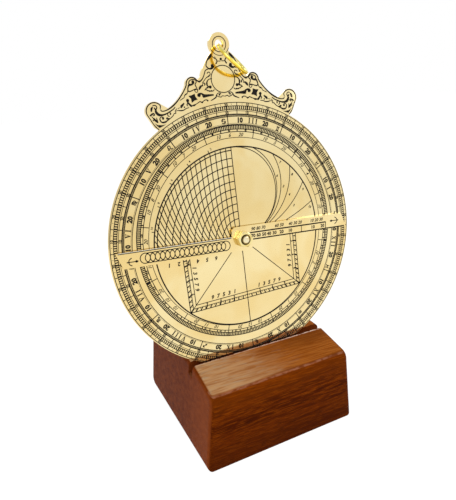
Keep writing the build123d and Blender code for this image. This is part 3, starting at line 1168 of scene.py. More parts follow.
SCROLL_STROKES: tuple[tuple[Knot, ...], ...] = (
    (
        (-5.0, 99.3, 0.3), (-5.7, 98.1, 1.02), (-6.9, 97.0, 0.78), (-7.8, 96.1, 0.42),
        (-8.5, 94.7, 0.36), (-8.7, 93.3, 0.42), (-7.5, 92.1, 0.48), (-6.3, 91.95, 0.72),
        (-5.25, 92.55, 1.02), (-4.95, 93.3, 1.2),
    ),
    (
        (-7.5, 91.95, 0.3), (-9.4, 91.3, 0.36), (-10.1, 90.0, 0.36), (-10.75, 88.7, 0.36),
        (-11.6, 87.4, 0.39), (-12.6, 86.5, 0.48), (-13.8, 85.95, 0.72),
    ),
    (
        (-13.7, 86.0, 0.66), (-14.79, 86.65, 0.44), (-15.58, 87.63, 0.42), (-16.68, 88.24, 0.42),
        (-17.99, 88.39, 0.42), (-19.25, 88.01, 0.42), (-20.3, 87.13, 0.42), (-20.9, 85.8, 0.4),
        (-21.1, 84.7, 0.4), (-22.3, 82.75, 0.42), (-23.63, 81.05, 0.42), (-25.23, 79.23, 0.45),
        (-27.04, 77.46, 0.5), (-28.9, 75.95, 0.56), (-30.65, 74.85, 0.56),
        (-32.5, 73.95, 0.44), (-34.5, 73.4, 0.36), (-36.0, 73.5, 0.36), (-36.45, 74.34, 0.3),
    ),
    (
        (-15.24, 82.95, 0.3), (-15.84, 83.85, 0.36), (-16.1, 85.0, 0.36), (-15.5, 85.7, 0.36),
        (-15.35, 86.5, 0.36), (-15.9, 87.1, 0.36), (-16.95, 87.38, 0.36), (-18.35, 87.15, 0.36),
        (-19.3, 86.4, 0.36), (-19.5, 85.3, 0.42),
    ),
    (
        (-16.6, 86.3, 0.5), (-17.1, 85.4, 0.6), (-18.3, 84.9, 0.7), (-19.4, 84.8, 0.8),
        (-19.95, 84.15, 0.54), (-20.46, 82.65, 0.42), (-19.95, 81.66, 0.42), (-18.6, 81.84, 0.36),
        (-16.95, 82.44, 0.3), (-16.14, 82.62, 0.3),
    ),
    (
        (-20.46, 82.65, 0.24), (-21.0, 81.0, 0.3), (-21.9, 80.4, 0.48), (-22.65, 79.95, 0.3),
        (-22.95, 79.05, 0.24), (-24.3, 78.3, 0.24), (-25.5, 77.7, 0.24),
    ),
    (
        (-38.64, 75.0, 0.3), (-39.0, 73.5, 0.9), (-37.95, 72.0, 1.02), (-36.15, 71.55, 0.72),
        (-33.9, 71.91, 0.48), (-31.5, 72.9, 0.42), (-29.7, 73.8, 0.36), (-28.5, 74.85, 0.3),
    ),
    (
        (-36.6, 74.55, 0.3), (-36.3, 75.7, 0.36), (-36.6, 76.7, 0.4), (-38.17, 77.7, 0.4),
        (-40.04, 77.94, 0.38), (-41.83, 77.38, 0.4), (-43.18, 76.12, 0.4), (-43.9, 74.42, 0.38),
        (-43.8, 72.65, 0.34), (-43.1, 71.2, 0.32), (-42.35, 69.8, 0.3), (-41.45, 68.05, 0.3),
        (-40.25, 66.15, 0.36), (-38.7, 64.6, 0.36),
    ),
    (
        (-40.35, 76.5, 0.3), (-39.0, 76.56, 0.36), (-38.25, 75.75, 0.36), (-38.55, 74.85, 0.42),
        (-39.36, 74.85, 0.48), (-39.54, 75.6, 0.36),
    ),
    (
        (-40.35, 76.05, 0.36), (-41.1, 75.0, 0.78), (-41.34, 73.65, 0.48),
    ),
    (
        (-42.45, 71.7, 0.42), (-41.4, 72.3, 0.66), (-40.35, 72.75, 0.42), (-40.05, 72.0, 0.48),
        (-40.8, 71.64, 0.3),
    ),
    (
        (-41.55, 71.4, 0.24), (-40.95, 70.5, 0.3), (-40.65, 69.45, 0.36), (-41.4, 69.3, 0.24),
    ),
    (
        (-40.65, 70.65, 0.24), (-39.75, 69.15, 0.78), (-38.64, 68.04, 0.3),
    ),
    (
        (-39.15, 70.65, 0.24), (-39.0, 69.45, 0.36), (-38.76, 68.1, 0.36),
    ),
    (
        (-35.55, 69.84, 0.78), (-36.15, 70.65, 0.36), (-37.14, 70.44, 0.3), (-37.5, 69.45, 0.42),
        (-36.75, 68.1, 0.48), (-35.1, 67.95, 0.66), (-33.6, 68.64, 0.42), (-31.8, 69.6, 0.3),
        (-30.3, 70.65, 0.3), (-29.55, 71.64, 0.3), (-28.56, 71.76, 0.3), (-28.8, 72.9, 0.24),
        (-27.75, 73.95, 0.24),
    ),
    (
        (-31.8, 71.34, 0.66), (-31.35, 72.0, 0.36), (-32.16, 72.45, 0.3), (-32.94, 72.0, 0.3),
        (-33.0, 70.95, 0.36), (-32.16, 70.5, 0.3),
    ),
    (
        (-28.5, 72.75, 0.24), (-27.3, 72.96, 0.24), (-25.8, 72.75, 0.42), (-24.15, 72.84, 0.36),
        (-22.5, 73.56, 0.3), (-21.0, 73.8, 0.24),
    ),
    (
        (-27.3, 73.8, 0.18), (-26.1, 74.25, 0.24),
    ),
    (
        (-21.36, 76.8, 0.6), (-21.6, 75.9, 0.42), (-22.05, 75.15, 0.36), (-21.45, 74.55, 0.24),
    ),
    (
        (-21.45, 76.5, 0.54), (-20.64, 75.45, 0.66), (-19.8, 74.55, 0.78), (-19.26, 74.16, 0.3),
    ),
    (
        (-15.3, 78.75, 0.42), (-15.0, 79.65, 0.9), (-13.95, 80.1, 0.72), (-12.75, 79.8, 0.66),
        (-12.0, 78.9, 1.32), (-10.5, 78.84, 1.02), (-8.7, 78.9, 0.78), (-6.36, 78.9, 0.54),
    ),
    (
        (-19.35, 74.55, 0.3), (-18.0, 74.7, 0.66), (-16.95, 75.15, 0.3), (-15.3, 75.9, 0.3),
        (-14.55, 76.26, 0.3), (-13.8, 75.84, 0.42), (-12.9, 76.05, 0.3), (-12.0, 76.65, 0.3),
        (-10.8, 76.74, 0.36), (-9.9, 76.05, 0.66),
    ),
    (
        (-8.4, 76.14, 0.24), (-6.6, 76.86, 0.42), (-5.25, 77.64, 0.48), (-4.74, 78.75, 0.36),
        (-3.9, 79.5, 0.3), (-2.85, 79.56, 0.3), (-2.16, 78.96, 0.3),
    ),
    (
        (-4.65, 78.3, 0.24), (-3.6, 77.76, 0.3), (-2.25, 77.46, 0.3), (-1.5, 78.0, 0.3), (0.0, 77.7, 0.24),
    ),
    (
        (-11.85, 83.85, 0.24), (-12.0, 84.6, 0.24), (-11.25, 85.26, 0.3), (-10.56, 84.66, 0.36),
        (-10.95, 83.85, 0.3),
    ),
    (
        (-14.25, 82.05, 0.42), (-13.65, 83.1, 0.9), (-12.75, 83.85, 0.6), (-11.7, 83.85, 0.3),
    ),
    (
        (-16.95, 81.75, 0.3), (-16.5, 82.35, 0.48), (-15.45, 82.5, 0.54), (-15.06, 81.75, 0.36),
        (-15.45, 81.0, 0.24), (-16.2, 81.0, 0.24), (-16.65, 81.66, 0.3),
    ),
    (
        (-9.75, 87.45, 0.24), (-8.64, 88.05, 0.36), (-7.8, 88.44, 0.42), (-6.96, 89.4, 0.3),
        (-7.5, 90.3, 0.3), (-8.46, 90.15, 0.3), (-8.64, 89.55, 0.3),
    ),
    (
        (-9.6, 87.6, 0.24), (-10.95, 86.25, 0.24), (-12.0, 85.35, 0.24),
    ),
    (
        (-6.3, 87.0, 0.3), (-7.95, 86.85, 0.3), (-9.15, 85.95, 0.42), (-9.54, 84.6, 0.66),
        (-9.15, 83.4, 0.48), (-7.95, 82.95, 0.9),
    ),
    (
        (-11.25, 81.6, 0.18), (-10.2, 82.5, 0.36), (-9.0, 82.86, 0.6),
    ),
    (
        (-10.5, 82.05, 0.24), (-9.45, 81.3, 0.3), (-7.5, 80.85, 0.36), (-6.15, 81.0, 0.3),
        (-5.76, 81.75, 0.24),
    ),
    (
        (-3.45, 97.65, 0.3), (-3.0, 96.75, 0.36), (-2.34, 95.7, 0.42), (-2.64, 94.65, 0.48),
        (-3.3, 94.05, 0.42),
    ),
    (
        (-2.25, 95.4, 0.24), (-0.3, 95.34, 0.3),
    ),
    (
        (-4.65, 97.8, 0.3), (-3.45, 96.6, 0.24),
    ),
)
SCROLL_DOTS: tuple[Knot, ...] = (
    (-5.25, 93.3, 0.84), (-17.2, 86.2, 0.75), (-35.79, 69.81, 0.54), (-33.6, 69.66, 0.54),
    (-32.7, 69.45, 0.36), (-23.55, 74.25, 0.36), (-21.36, 77.34, 0.81), (-14.64, 79.35, 0.84),
    (-3.09, 78.72, 0.48), (-13.35, 75.75, 0.42), (-10.74, 84.45, 0.3), (-7.95, 88.35, 0.36),
    (-7.8, 82.95, 0.75), (-10.35, 81.75, 0.3), (-9.45, 81.24, 0.3), (-8.46, 80.94, 0.36),
    (-7.35, 81.0, 0.39), (-0.06, 96.3, 0.6),
)
SCROLL_LEAVES: tuple[tuple[Point, ...], ...] = (
    (
        (-40.65, 68.1), (-39.0, 66.96), (-36.6, 66.66), (-34.56, 66.9), (-36.6, 66.0), (-38.25, 65.4),
        (-39.3, 66.3),
    ),
    (
        (-25.8, 74.16), (-25.65, 75.3), (-23.55, 76.5), (-23.25, 75.9), (-24.0, 75.0), (-25.14, 73.86),
    ),
    (
        (-20.55, 79.56), (-18.9, 79.74), (-17.01, 80.4), (-16.8, 78.9), (-15.69, 77.34), (-17.55, 76.95),
        (-19.2, 75.99), (-19.35, 78.0),
    ),
    (
        (-12.6, 77.7), (-12.3, 78.9), (-10.5, 78.9),
    ),
)


def mirrored(line: Iterable[Sequence[float]]) -> list[tuple[float, ...]]:
    """Reflects a line in the middle of the disc.

    Args:
        line: Its points.

    Returns:
        The points on the other side, widths kept.
    """
    return [(-point[0], *point[1:]) for point in line]


# The instrument


@dataclass
class DialPlate:
    """The engraved disc with its scrolled throne."""

    outer: float = 74.25
    outer_cells: float = 72.5
    tick_inner: float = 70.7
    inner_cells: float = 69.9
    cells_end: float = 68.2
    dark_band: float = 67.1
    name_inner: float = 62.85
    calendar_rise: float = 2.25
    calendar_outer: float = 60.15
    day_inner: float = 58.1
    five_inner: float = 56.8
    month_inner: float = 53.7
    circle_inner: float = 50.7
    circle_outer: float = 51.45
    square_outer: float = 36.06
    square_middle: float = 34.15
    square_inner: float = 32.3
    eyelet_up: float = 103.6
    medallion_up: float = 86.4
    medallion_radius: float = 6.8
    eyelet_ring: float = 3.75
    eyelet_arc: float = 5.5
    hour_pitch: float = 4.2225
    hour_inset: float = 1.3125
    numeral_angle: float = 13.4
    numeral_rise: float = 0.85
    left_weight: float = 1.3
    right_weight: float = 1.42
    body: str = "instrument"

    def degree_rings(self, inlay: Inlay) -> None:
        """Draws the ring of degrees: two rows of 5-degree cells with black blocks between.

        Args:
            inlay: The line work that it joins.
        """
        for radius, width in (
            (self.outer, 0.42),
            (self.outer_cells, 0.4),
            (self.tick_inner, 0.4),
            (self.inner_cells, 0.3),
            (self.cells_end, 0.46),
            (self.dark_band, 0.42),
            (self.name_inner, 0.4),
            (self.name_inner + 0.6, 0.16),
        ):
            inlay.ring(radius, width, step=2.0)
        for share in (0.36, 0.68):
            inlay.ring(self.dark_band + (self.cells_end - self.dark_band) * share, 0.24, step=2.0)
        inlay.blocks(self.tick_inner, self.outer_cells, 360, 0.52)
        inlay.ticks(self.cells_end, self.outer, 72, 0.4, skip=lambda index: index % 2 == 0)
        inlay.ticks(self.inner_cells, self.outer_cells, 36, 0.5)
        for index in range(36):
            word = str((index * 10) % 30 or 30)
            inlay.number(word, Spot.on_dial(73.36, index * 10, 1.5), weight=1.0)
            inlay.number(word, Spot.on_dial(69.05, index * 10, 1.5), weight=1.0)
            for step in (-2.5, 2.5):
                angle = index * 10 + step
                inlay.line([polar(73.0, angle), polar(73.75, angle)], 0.2)

    def name_ring(self, inlay: Inlay) -> None:
        """Draws the twelve sectors, each with its numeral and its mark.

        Args:
            inlay: The line work that it joins.
        """
        size, gap = 2.9, 0.34
        for index, (numeral, mark) in enumerate(TWELFTHS):
            start = 30 * index
            inlay.line([polar(self.name_inner, start), polar(self.cells_end, start)], 0.5)
            wide = sum(NUMERAL_WIDTH[letter] for letter in numeral) + gap * (len(numeral) - 1)
            radius = self.name_inner + self.numeral_rise
            place = -wide / 2
            for letter in numeral:
                half = NUMERAL_WIDTH[letter] / 2
                turn = math.degrees((place + half) * size / radius)
                angle = start + self.numeral_angle + turn
                spot = Spot.on_dial(radius, angle, size)
                for shape in NUMERAL_SHAPE[letter]:
                    inlay.patch([spot.set((x - half, y)) for x, y in shape])
                place += 2 * half + gap
            reach = math.degrees(wide * size / radius) / 2
            for side, word in ((-1, "10"), (1, "20")):
                angle = start + self.numeral_angle + side * (reach + 4.6)
                spot = Spot.on_dial(radius + size / 2, angle, size * 0.9)
                inlay.number(word, spot, weight=1.6)
            spot = Spot.on_dial(radius, start + 27.8, 2.5)
            for stroke in mark.strokes:
                inlay.line(smooth([spot.set((x - 0.5, y, 0.2)) for x, y in stroke], 3))
            for x, y, ring in mark.circles:
                centre = spot.set((x - 0.5, y))
                inlay.ring(ring * spot.size, 0.46, (centre[0], centre[1]), step=30.0)

    def calendar(self, inlay: Inlay) -> None:
        """Draws the year of days, set off the centre, with the months as numbers.

        Args:
            inlay: The line work that it joins.
        """
        centre = (0.0, self.calendar_rise)
        for radius, width in (
            (self.calendar_outer, 0.5),
            (self.day_inner, 0.46),
            (self.five_inner, 0.44),
            (self.month_inner, 0.34),
        ):
            inlay.ring(radius, width, centre, step=2.5)
        inlay.ticks(self.day_inner, self.calendar_outer, 365, 0.62, centre)
        inlay.ticks(self.five_inner, self.day_inner, 73, 0.62, centre)
        for index in range(36):
            word = str((index * 10) % 30 or 30)
            inlay.number(word, Spot.on_dial(57.45, index * 10, 1.05, centre), weight=1.0)
        for index in range(12):
            border = 30 * index + 15
            inlay.line(
                [polar(self.month_inner, border, centre), polar(self.calendar_outer, border, centre)], 0.44
            )
            month = str((4 - index) % 12 + 1)
            for step, word in ((-7.0, "10"), (0.0, month), (7.0, "20")):
                spot = Spot.on_dial(55.25, border + 15 + step, 2.0, centre)
                inlay.number(word, spot, 0.3)

    def hour_lines(self, inlay: Inlay) -> None:
        """Draws the net of equal-hour lines, up and to the left of the middle.

        Args:
            inlay: The line work that it joins.
        """
        for index in range(1, 13):
            radius = self.hour_pitch * index - self.hour_inset
            inlay.ring(radius, 0.52, start=-90, end=0, step=3.0)
        for index in range(1, 24):
            first = max(index / 2, 0.6)
            route = []
            for step in range(17):
                count = first + (12.3 - first) * step / 16
                radius = self.hour_pitch * count - self.hour_inset
                route.append(polar(radius, -90 * index / (2 * count)))
            inlay.line(route, 0.52)
        for index in range(1, 6):
            angle = -15 * index
            inlay.line([polar(self.circle_outer, angle), polar(self.circle_outer + 1.3, angle)], 0.44)
            inlay.number(str(index * 2), Spot.on_dial(52.9, angle + 2.0, 1.3))

    def unequal_hours(self, inlay: Inlay) -> None:
        """Draws the arcs of unequal hours, up and to the right of the middle.

        Args:
            inlay: The line work that it joins.
        """
        for index in range(1, 7):
            rise = math.radians(15 * index)
            radius = 51.0 / (2 * math.sin(rise))
            reach = 2 * math.degrees(rise)
            inlay.ring(radius, 0.46, (0.0, radius), start=180, end=180 - reach, step=max(reach / 26, 1.2))
        for x, y, word in (
            (27.3, 31.5, "6"),
            (30.9, 24.8, "5"),
            (34.4, 19.5, "4"),
            (36.8, 12.6, "3"),
            (30.0, 38.8, "7"),
            (37.4, 30.8, "8"),
            (44.0, 21.0, "9"),
            (47.8, 9.8, "10"),
        ):
            inlay.number(word, Spot(x, y, 30.0, 1.5), weight=1.0)

    def shadow_square(self, inlay: Inlay) -> None:
        """Draws the square of shadows below the middle, with its divided sides.

        Args:
            inlay: The line work that it joins.
        """
        outer, middle, inner = self.square_outer, self.square_middle, self.square_inner
        for side, width in ((outer, 0.5), (middle, 0.42), (inner, 0.44)):
            inlay.line([(-side, 0.0), (-side, -side)], width)
            inlay.line([(-side - width / 2, -side), (side + width / 2, -side)], width)
            inlay.line([(side, -side), (side, 0.0)], width)
        for turn in (-1, 1):
            inlay.line([(0.0, 0.0), (turn * outer, -outer)], 0.46)
            for index in range(1, 13):
                near, far = middle * index / 12, outer * index / 12
                wide = 0.66 if index % 3 else 0.9
                inlay.line([(turn * middle, -near), (turn * outer, -far)], wide)
                inlay.line([(turn * near, -middle), (turn * far, -outer)], wide)
                half = middle * (index - 0.5) / 12
                inlay.line([(turn * middle, -half), (turn * (middle + 0.9), -half)], 0.3)
                inlay.line([(turn * half, -middle), (turn * half, -middle - 0.9)], 0.3)
            for index in (3, 6, 9):
                along = middle * index / 12
                number = Spot(turn * (middle + inner) / 2, -along, 90.0 * turn, 1.5)
                inlay.number(str(index), number, weight=1.0)
                inlay.number(str(index), Spot(turn * along, -(middle + inner) / 2, 0.0, 1.5), weight=1.0)
            for index, word in enumerate("13579"):
                along = 10.6 + 3.2 * index
                inlay.number(word, Spot(turn * 30.2, -along, -90.0 * turn, 2.3), 0.22, 1.0)
                inlay.number(word, Spot(turn * (along - 2.6 + index * 0.3), -30.1, 0.0, 2.3), 0.22, 1.0)

    def middle_lines(self, inlay: Inlay) -> None:
        """Draws the bold circle and the line down the middle of the disc.

        Args:
            inlay: The line work that it joins.
        """
        inner, outer = self.circle_inner, self.circle_outer
        inlay.ring((inner + outer) / 2, outer - inner, step=2.0)
        inlay.ring(49.5, 0.34, start=-90, end=0, step=2.0)
        inlay.line([(0.0, -self.circle_inner), (0.0, self.circle_inner)], 0.5)
        inlay.line([(-self.circle_inner, 0.0), (-3.0, 0.0)], 0.42)
        for index, x in enumerate((-44.0, -38.5, -33.0, -27.5, -22.0, -16.5)):
            inlay.number(str(index + 1), Spot(x, -6.3 - 0.075 * (x + 44), 180.0, 2.2), 0.2, 1.0)

    def throne(self, inlay: Inlay) -> None:
        """Draws the scrolls of the throne, its medallion and the rings about the eyelet.

        Args:
            inlay: The line work that it joins.
        """
        for stroke in SCROLL_STROKES:
            points = smooth(stroke, 4)
            inlay.line([(x, y, width * self.left_weight + 0.08) for x, y, width in points])
            inlay.line(mirrored([(x, y, width * self.right_weight + 0.08) for x, y, width in points]))
        for x, y, radius in SCROLL_DOTS:
            inlay.dot(x, y, radius + 0.06)
            inlay.dot(-x, y, radius + 0.06)
        for leaf in SCROLL_LEAVES:
            inlay.patch(leaf)
            inlay.patch(mirrored(leaf))
        inlay.ring(self.medallion_radius, 0.5, (0.0, self.medallion_up), step=6.0)
        inlay.ring(self.eyelet_ring, 0.44, (0.0, self.eyelet_up), step=10.0)
        inlay.ring(self.eyelet_arc, 0.36, (0.0, self.eyelet_up), start=112, end=248, step=6.0)

    def dress(self, fill: bpy.types.Material) -> None:
        """Engraves the plate and gives it its metal.

        Args:
            fill: The black filling of the lines.
        """
        for name, draw in (
            ("dial_degree_rings", self.degree_rings),
            ("dial_name_ring", self.name_ring),
            ("dial_calendar", self.calendar),
            ("dial_hour_net", self.hour_lines),
            ("dial_unequal_hours", self.unequal_hours),
            ("dial_shadow_square", self.shadow_square),
            ("dial_middle_lines", self.middle_lines),
            ("throne_scrolls", self.throne),
        ):
            inlay = Inlay(name, Face())
            draw(inlay)
            inlay.lay(self.body, fill)
        brass = Brass("dial_brass", (239, 220, 166), (233, 206, 141), gloss=0.06, haze=0.07)
        paint_node("mater_plate", brass.material())


def paint_node(node: str, material: bpy.types.Material) -> None:
    """Gives a CAD solid its finish.

    Args:
        node: Name of the solid.
        material: The finish.
    """
    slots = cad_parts[node].data.materials
    if len(slots) == 0:
        slots.append(material)
    for index in range(len(slots)):
        slots[index] = material
    LOG.info("%s: %s", node, material.name)


@dataclass
class Alidade:
    """The reading arm on the engraved face."""

    level: float = 1.88
    turn: float = -3.0
    reading_edge: float = 1.6
    reach: float = 72.2
    # Width of the painted highlight strip along the left arm's edge.
    highlight_width: float = 0.24
    body: str = "alidade_body"

    def chain(self, inlay: Inlay) -> None:
        """Draws the chain of linked rings along the left arm.

        Args:
            inlay: The line work that it joins.
        """
        middle, radius, first, count, pitch = -2.75, 2.72, -56.9, 18, 2.72
        for index in range(count):
            x = first + pitch * index
            inlay.ring(radius, 0.5, (x, middle), step=12.0)
            if index < count - 1:
                half = 0.7 + 0.4 * index / count
                for side in (-1, 1):
                    top = middle + side * (radius + 0.12)
                    tip = middle + side * (radius * 0.6)
                    between = x + pitch / 2
                    inlay.patch([(between - half, top), (between + half, top), (between, tip)])

    def arrow(self, inlay: Inlay, x: float, y: float, turn: float) -> None:
        """Draws the small anchor-shaped pointer near an arm's end.

        Args:
            inlay: The line work that it joins.
            x: Where its crown is.
            y: Height of its middle.
            turn: Which way it points: 1 to the right, -1 to the left.
        """
        inlay.line([(x - turn * 4.2, y), (x + turn * 1.6, y)], 0.46)
        crown = ((-0.9, 2.1), (0.5, 1.2), (0.7, 0.0), (0.5, -1.2), (-0.9, -2.1))
        barb = ((-4.6, 0.0), (-3.3, 0.75), (-2.1, 0.0), (-3.3, -0.75))
        tip = ((2.2, 0.0), (1.2, 0.5), (1.2, -0.5))
        inlay.line([(*spot, 0.5) for spot in smooth([(x + turn * a, y + b) for a, b in crown], 3)])
        for shape in (barb, tip):
            inlay.patch([(x + turn * a, y + b) for a, b in shape])

    def scale(self, inlay: Inlay) -> None:
        """Draws the scale of declination along the right arm.

        Args:
            inlay: The line work that it joins.
        """
        edge, middle, end, origin = -self.reading_edge, 2.75, 57.0, 39.5
        inlay.line([(1.0, middle), (end, middle)], 0.8)
        inlay.line([(end, middle + 0.3), (end, edge)], 0.5)
        inlay.line([(origin, middle), (origin, edge)], 0.42)
        for x, word in (
            (6.9, "70"), (10.4, "60"), (14.0, "50"), (17.3, "40"), (20.9, "30"), (25.7, "20"),
            (31.6, "10"), (47.7, "10"), (54.7, "20"),
        ):
            inlay.number(word, Spot(x, 0.85, 0.0, 2.0), weight=1.0)
            inlay.line([(x, edge), (x, edge + 0.9)], 0.34)
        for x, word in ((8.6, "90 80 70"), (22.5, "60 50"), (33.5, "40 30 20"), (48.6, "10 20 30")):
            inlay.number(word, Spot(x + 1.6, 4.85, 0.0, 1.9), 0.25, 0.6)

    def edges(self, inlay: Inlay) -> None:
        """Draws the black line along each reading edge, finer on the left arm, where a painted highlight
        strip lies along its edge.

        Args:
            inlay: The line work that it joins.
        """
        for side, inset, width in ((-1, 0.47, 0.5), (1, 0.4, 0.74)):
            y = -side * (self.reading_edge - inset)
            inlay.line([(side * 7.0, y), (side * (self.reach - 1.2), y)], width)

    def dress(self, fill: bpy.types.Material) -> None:
        """Engraves the arm and gives it its metal.

        Args:
            fill: The black filling of the lines.
        """
        inlay = Inlay("alidade_engraving", Face(self.level, self.turn))
        self.chain(inlay)
        self.arrow(inlay, -64.9, -3.7, -1)
        self.arrow(inlay, 64.6, 2.9, 1)
        self.scale(inlay)
        self.edges(inlay)
        inlay.lay(self.body, fill)
        # A strip of near-white brass along the left arm's top edge is a painted highlight.
        painted_edge_highlight = Inlay("alidade_painted_highlight", Face(self.level, self.turn))
        high = self.reading_edge - self.highlight_width / 2
        painted_edge_highlight.line([(-7.0, high), (1.2 - self.reach, high)], self.highlight_width)
        painted_edge_highlight.lay(self.body, Brass("painted_highlight_brass", (255, 252, 240), (252, 246, 224), gloss=0.3).material())
        brass = Brass("alidade_brass", (241, 220, 163), (234, 206, 139), gloss=0.09, haze=0.08)
        paint_node("alidade", brass.material())


@dataclass
class FarSide:
    """The limb ring, tympan, rete and rule on the far side."""

    limb_level: float = -4.0
    tympan_level: float = -2.8
    rete_level: float = -3.68
    rete_radius: float = 61.4
    rule_level: float = -4.56
    rule_reach: float = 61.4
    obliquity: float = 23.44
    latitude: float = 43.0

    @property
    def tropic_ratio(self) -> float:
        """Ratio of the equator's radius to that of the outer tropic."""
        return math.tan(math.radians((90 - self.obliquity) / 2))

    def limb(self, inlay: Inlay) -> None:
        """Draws the hours and degrees round the limb.

        Args:
            inlay: The line work that it joins.
        """
        for radius, width in ((72.9, 0.3), (71.2, 0.22), (69.4, 0.22), (62.8, 0.3)):
            inlay.ring(radius, width, step=2.0)
        inlay.blocks(69.6, 71.0, 360)
        inlay.ticks(69.4, 72.9, 72, 0.26)
        inlay.ticks(62.8, 72.9, 24, 0.36)
        for index in range(24):
            word = str((index + 11) % 12 + 1)
            inlay.number(word, Spot.on_dial(66.1, index * 15 + 7.5, 3.4))

    def tympan(self, inlay: Inlay) -> None:
        """Draws the tropics, the equator and the lines of height and bearing on the tympan.

        Args:
            inlay: The line work that it joins.
        """
        equator = self.rete_radius * self.tropic_ratio
        limit = self.rete_radius - 0.6
        for radius in (limit, equator, equator * self.tropic_ratio):
            inlay.ring(radius, 0.28, step=3.0)
        inlay.line([(0.0, -limit), (0.0, limit)], 0.28)
        inlay.line([(-limit, 0.0), (limit, 0.0)], 0.28)
        tilt = math.radians(self.latitude)
        for height in range(0, 85, 10):
            rise = math.radians(height)
            low = equator * math.cos(rise) / (math.sin(tilt) + math.sin(rise))
            middle = equator * math.cos(tilt) / (math.sin(tilt) + math.sin(rise))
            self.clipped(inlay, (0.0, middle), low, limit, 0.34 if height == 0 else 0.2)
        zenith = equator * math.tan(math.radians(90 - self.latitude) / 2)
        nadir = -equator / math.tan(math.radians(90 - self.latitude) / 2)
        half = (zenith - nadir) / 2
        for bearing in range(0, 90, 30):
            for side in (-1, 1):
                shift = side * half * math.tan(math.radians(bearing))
                reach = math.hypot(half, shift)
                self.clipped(inlay, (shift, (zenith + nadir) / 2), reach, limit, 0.18, above=-8.0)

    @staticmethod
    def clipped(
        inlay: Inlay, centre: Point, radius: float, limit: float, width: float, above: float = -99.0
    ) -> None:
        """Draws the part of a circle that lies on the tympan.

        Args:
            inlay: The line work that it joins.
            centre: Middle of the circle.
            radius: Its radius.
            limit: Radius of the tympan's last line.
            width: Width of the line.
            above: Lowest height that is drawn.
        """
        steps = 180
        run: list[Point] = []
        runs: list[list[Point]] = []
        for index in range(2 * steps + 1):
            x, y = polar(radius, 360 * index / steps, centre)
            if math.hypot(x, y) < limit and y > above:
                run.append((x, y))
            elif run:
                runs.append(run)
                run = []
        if run:
            runs.append(run)
        whole = [line for line in runs if len(line) > 2]
        if whole:
            longest = max(whole, key=len)
            inlay.line(longest[: steps + 1], width)

    def rete(self, inlay: Inlay) -> None:
        """Draws the divisions of the ecliptic ring and the edge of the rim.

        Args:
            inlay: The line work that it joins.
        """
        inner_tropic = self.rete_radius * self.tropic_ratio**2
        radius = (self.rete_radius + inner_tropic) / 2
        centre = (0.0, (self.rete_radius - inner_tropic) / 2)
        for reach, width in ((radius - 0.5, 0.24), (radius - 2.0, 0.2), (radius - 4.1, 0.24)):
            inlay.ring(reach, width, centre, step=3.0)
        inlay.ticks(radius - 2.0, radius - 0.5, 72, 0.2, centre)
        inlay.ticks(radius - 4.1, radius - 0.5, 12, 0.3, centre)
        inlay.ring(60.8, 0.24, start=98, end=262, step=3.0)
        inlay.ring(58.4, 0.24, start=98, end=262, step=3.0)

    def rule(self, inlay: Inlay) -> None:
        """Draws the scale along each arm of the rule.

        Args:
            inlay: The line work that it joins.
        """
        for side in (-1, 1):
            inlay.line([(side * 8.0, side * -0.5), (side * (self.rule_reach - 1.6), side * -0.5)], 0.28)
            for index in range(25):
                x = 9.5 + 2.0 * index
                reach = 2.0 if index % 5 == 0 else 1.2
                inlay.line([(side * x, side * -0.5), (side * x, side * (-0.5 - reach))], 0.2)

    def dress(self, fill: bpy.types.Material) -> None:
        """Engraves the far side and gives each plate its metal.

        Args:
            fill: The black filling of the lines.
        """
        rete_turn = ROLL + 1.0
        for name, level, turn, body, draw in (
            ("limb_engraving", self.limb_level, ROLL, "instrument", self.limb),
            ("tympan_engraving", self.tympan_level, ROLL, "instrument", self.tympan),
            ("rete_engraving", self.rete_level, rete_turn, "rete_body", self.rete),
            ("rule_engraving", self.rule_level, ROLL, "rule_body", self.rule),
        ):
            inlay = Inlay(name, Face(level, turn, behind=True))
            draw(inlay)
            inlay.lay(body, fill)
        for node, tone, warm, gloss in (
            ("limb_ring", (240, 220, 164), (232, 205, 138), 0.1),
            ("tympan_plate", (226, 202, 146), (212, 182, 118), 0.2),
            ("rete", (238, 208, 132), (228, 190, 104), 0.1),
            ("rule", (240, 214, 146), (230, 198, 120), 0.12),
        ):
            paint_node(node, Brass(f"{node}_brass", tone, warm, gloss=gloss).material())


# Turned and bent brass


def skin(
    name: str,
    rows: Sequence[Sequence[Vector]],
    body: str,
    material: bpy.types.Material,
    closed: bool = False,
    sharp: float = 40.0,
) -> bpy.types.Object:
    """Makes a smooth solid from rings of points.

    Args:
        name: Name of the piece.
        rows: Rings of points in order, each with as many points.
        body: The body that it moves with.
        material: Its finish.
        closed: Whether the last ring joins the first; otherwise the ends are capped.
        sharp: Degrees at which an edge stays crisp.

    Returns:
        The new piece.
    """
    count, wide = len(rows), len(rows[0])
    points = [tuple(point * MM) for row in rows for point in row]
    sides: list[tuple[int, ...]] = []
    for i in range(count if closed else count - 1):
        j = (i + 1) % count
        for k in range(wide):
            n = (k + 1) % wide
            sides.append((i * wide + k, i * wide + n, j * wide + n, j * wide + k))
    if not closed:
        sides.append(tuple(range(wide - 1, -1, -1)))
        sides.append(tuple(range((count - 1) * wide, count * wide)))
    mesh = bpy.data.meshes.new(name)
    mesh.from_pydata(points, [], sides)
    mesh.materials.append(material)
    mesh.update()
    mesh.shade_smooth()
    mesh.set_sharp_from_angle(angle=math.radians(sharp))
    piece = bpy.data.objects.new(name, mesh)
    bpy.context.scene.collection.objects.link(piece)
    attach(piece, body)
    LOG.info("%s: %d faces on %s", name, len(mesh.polygons), body)
    return piece


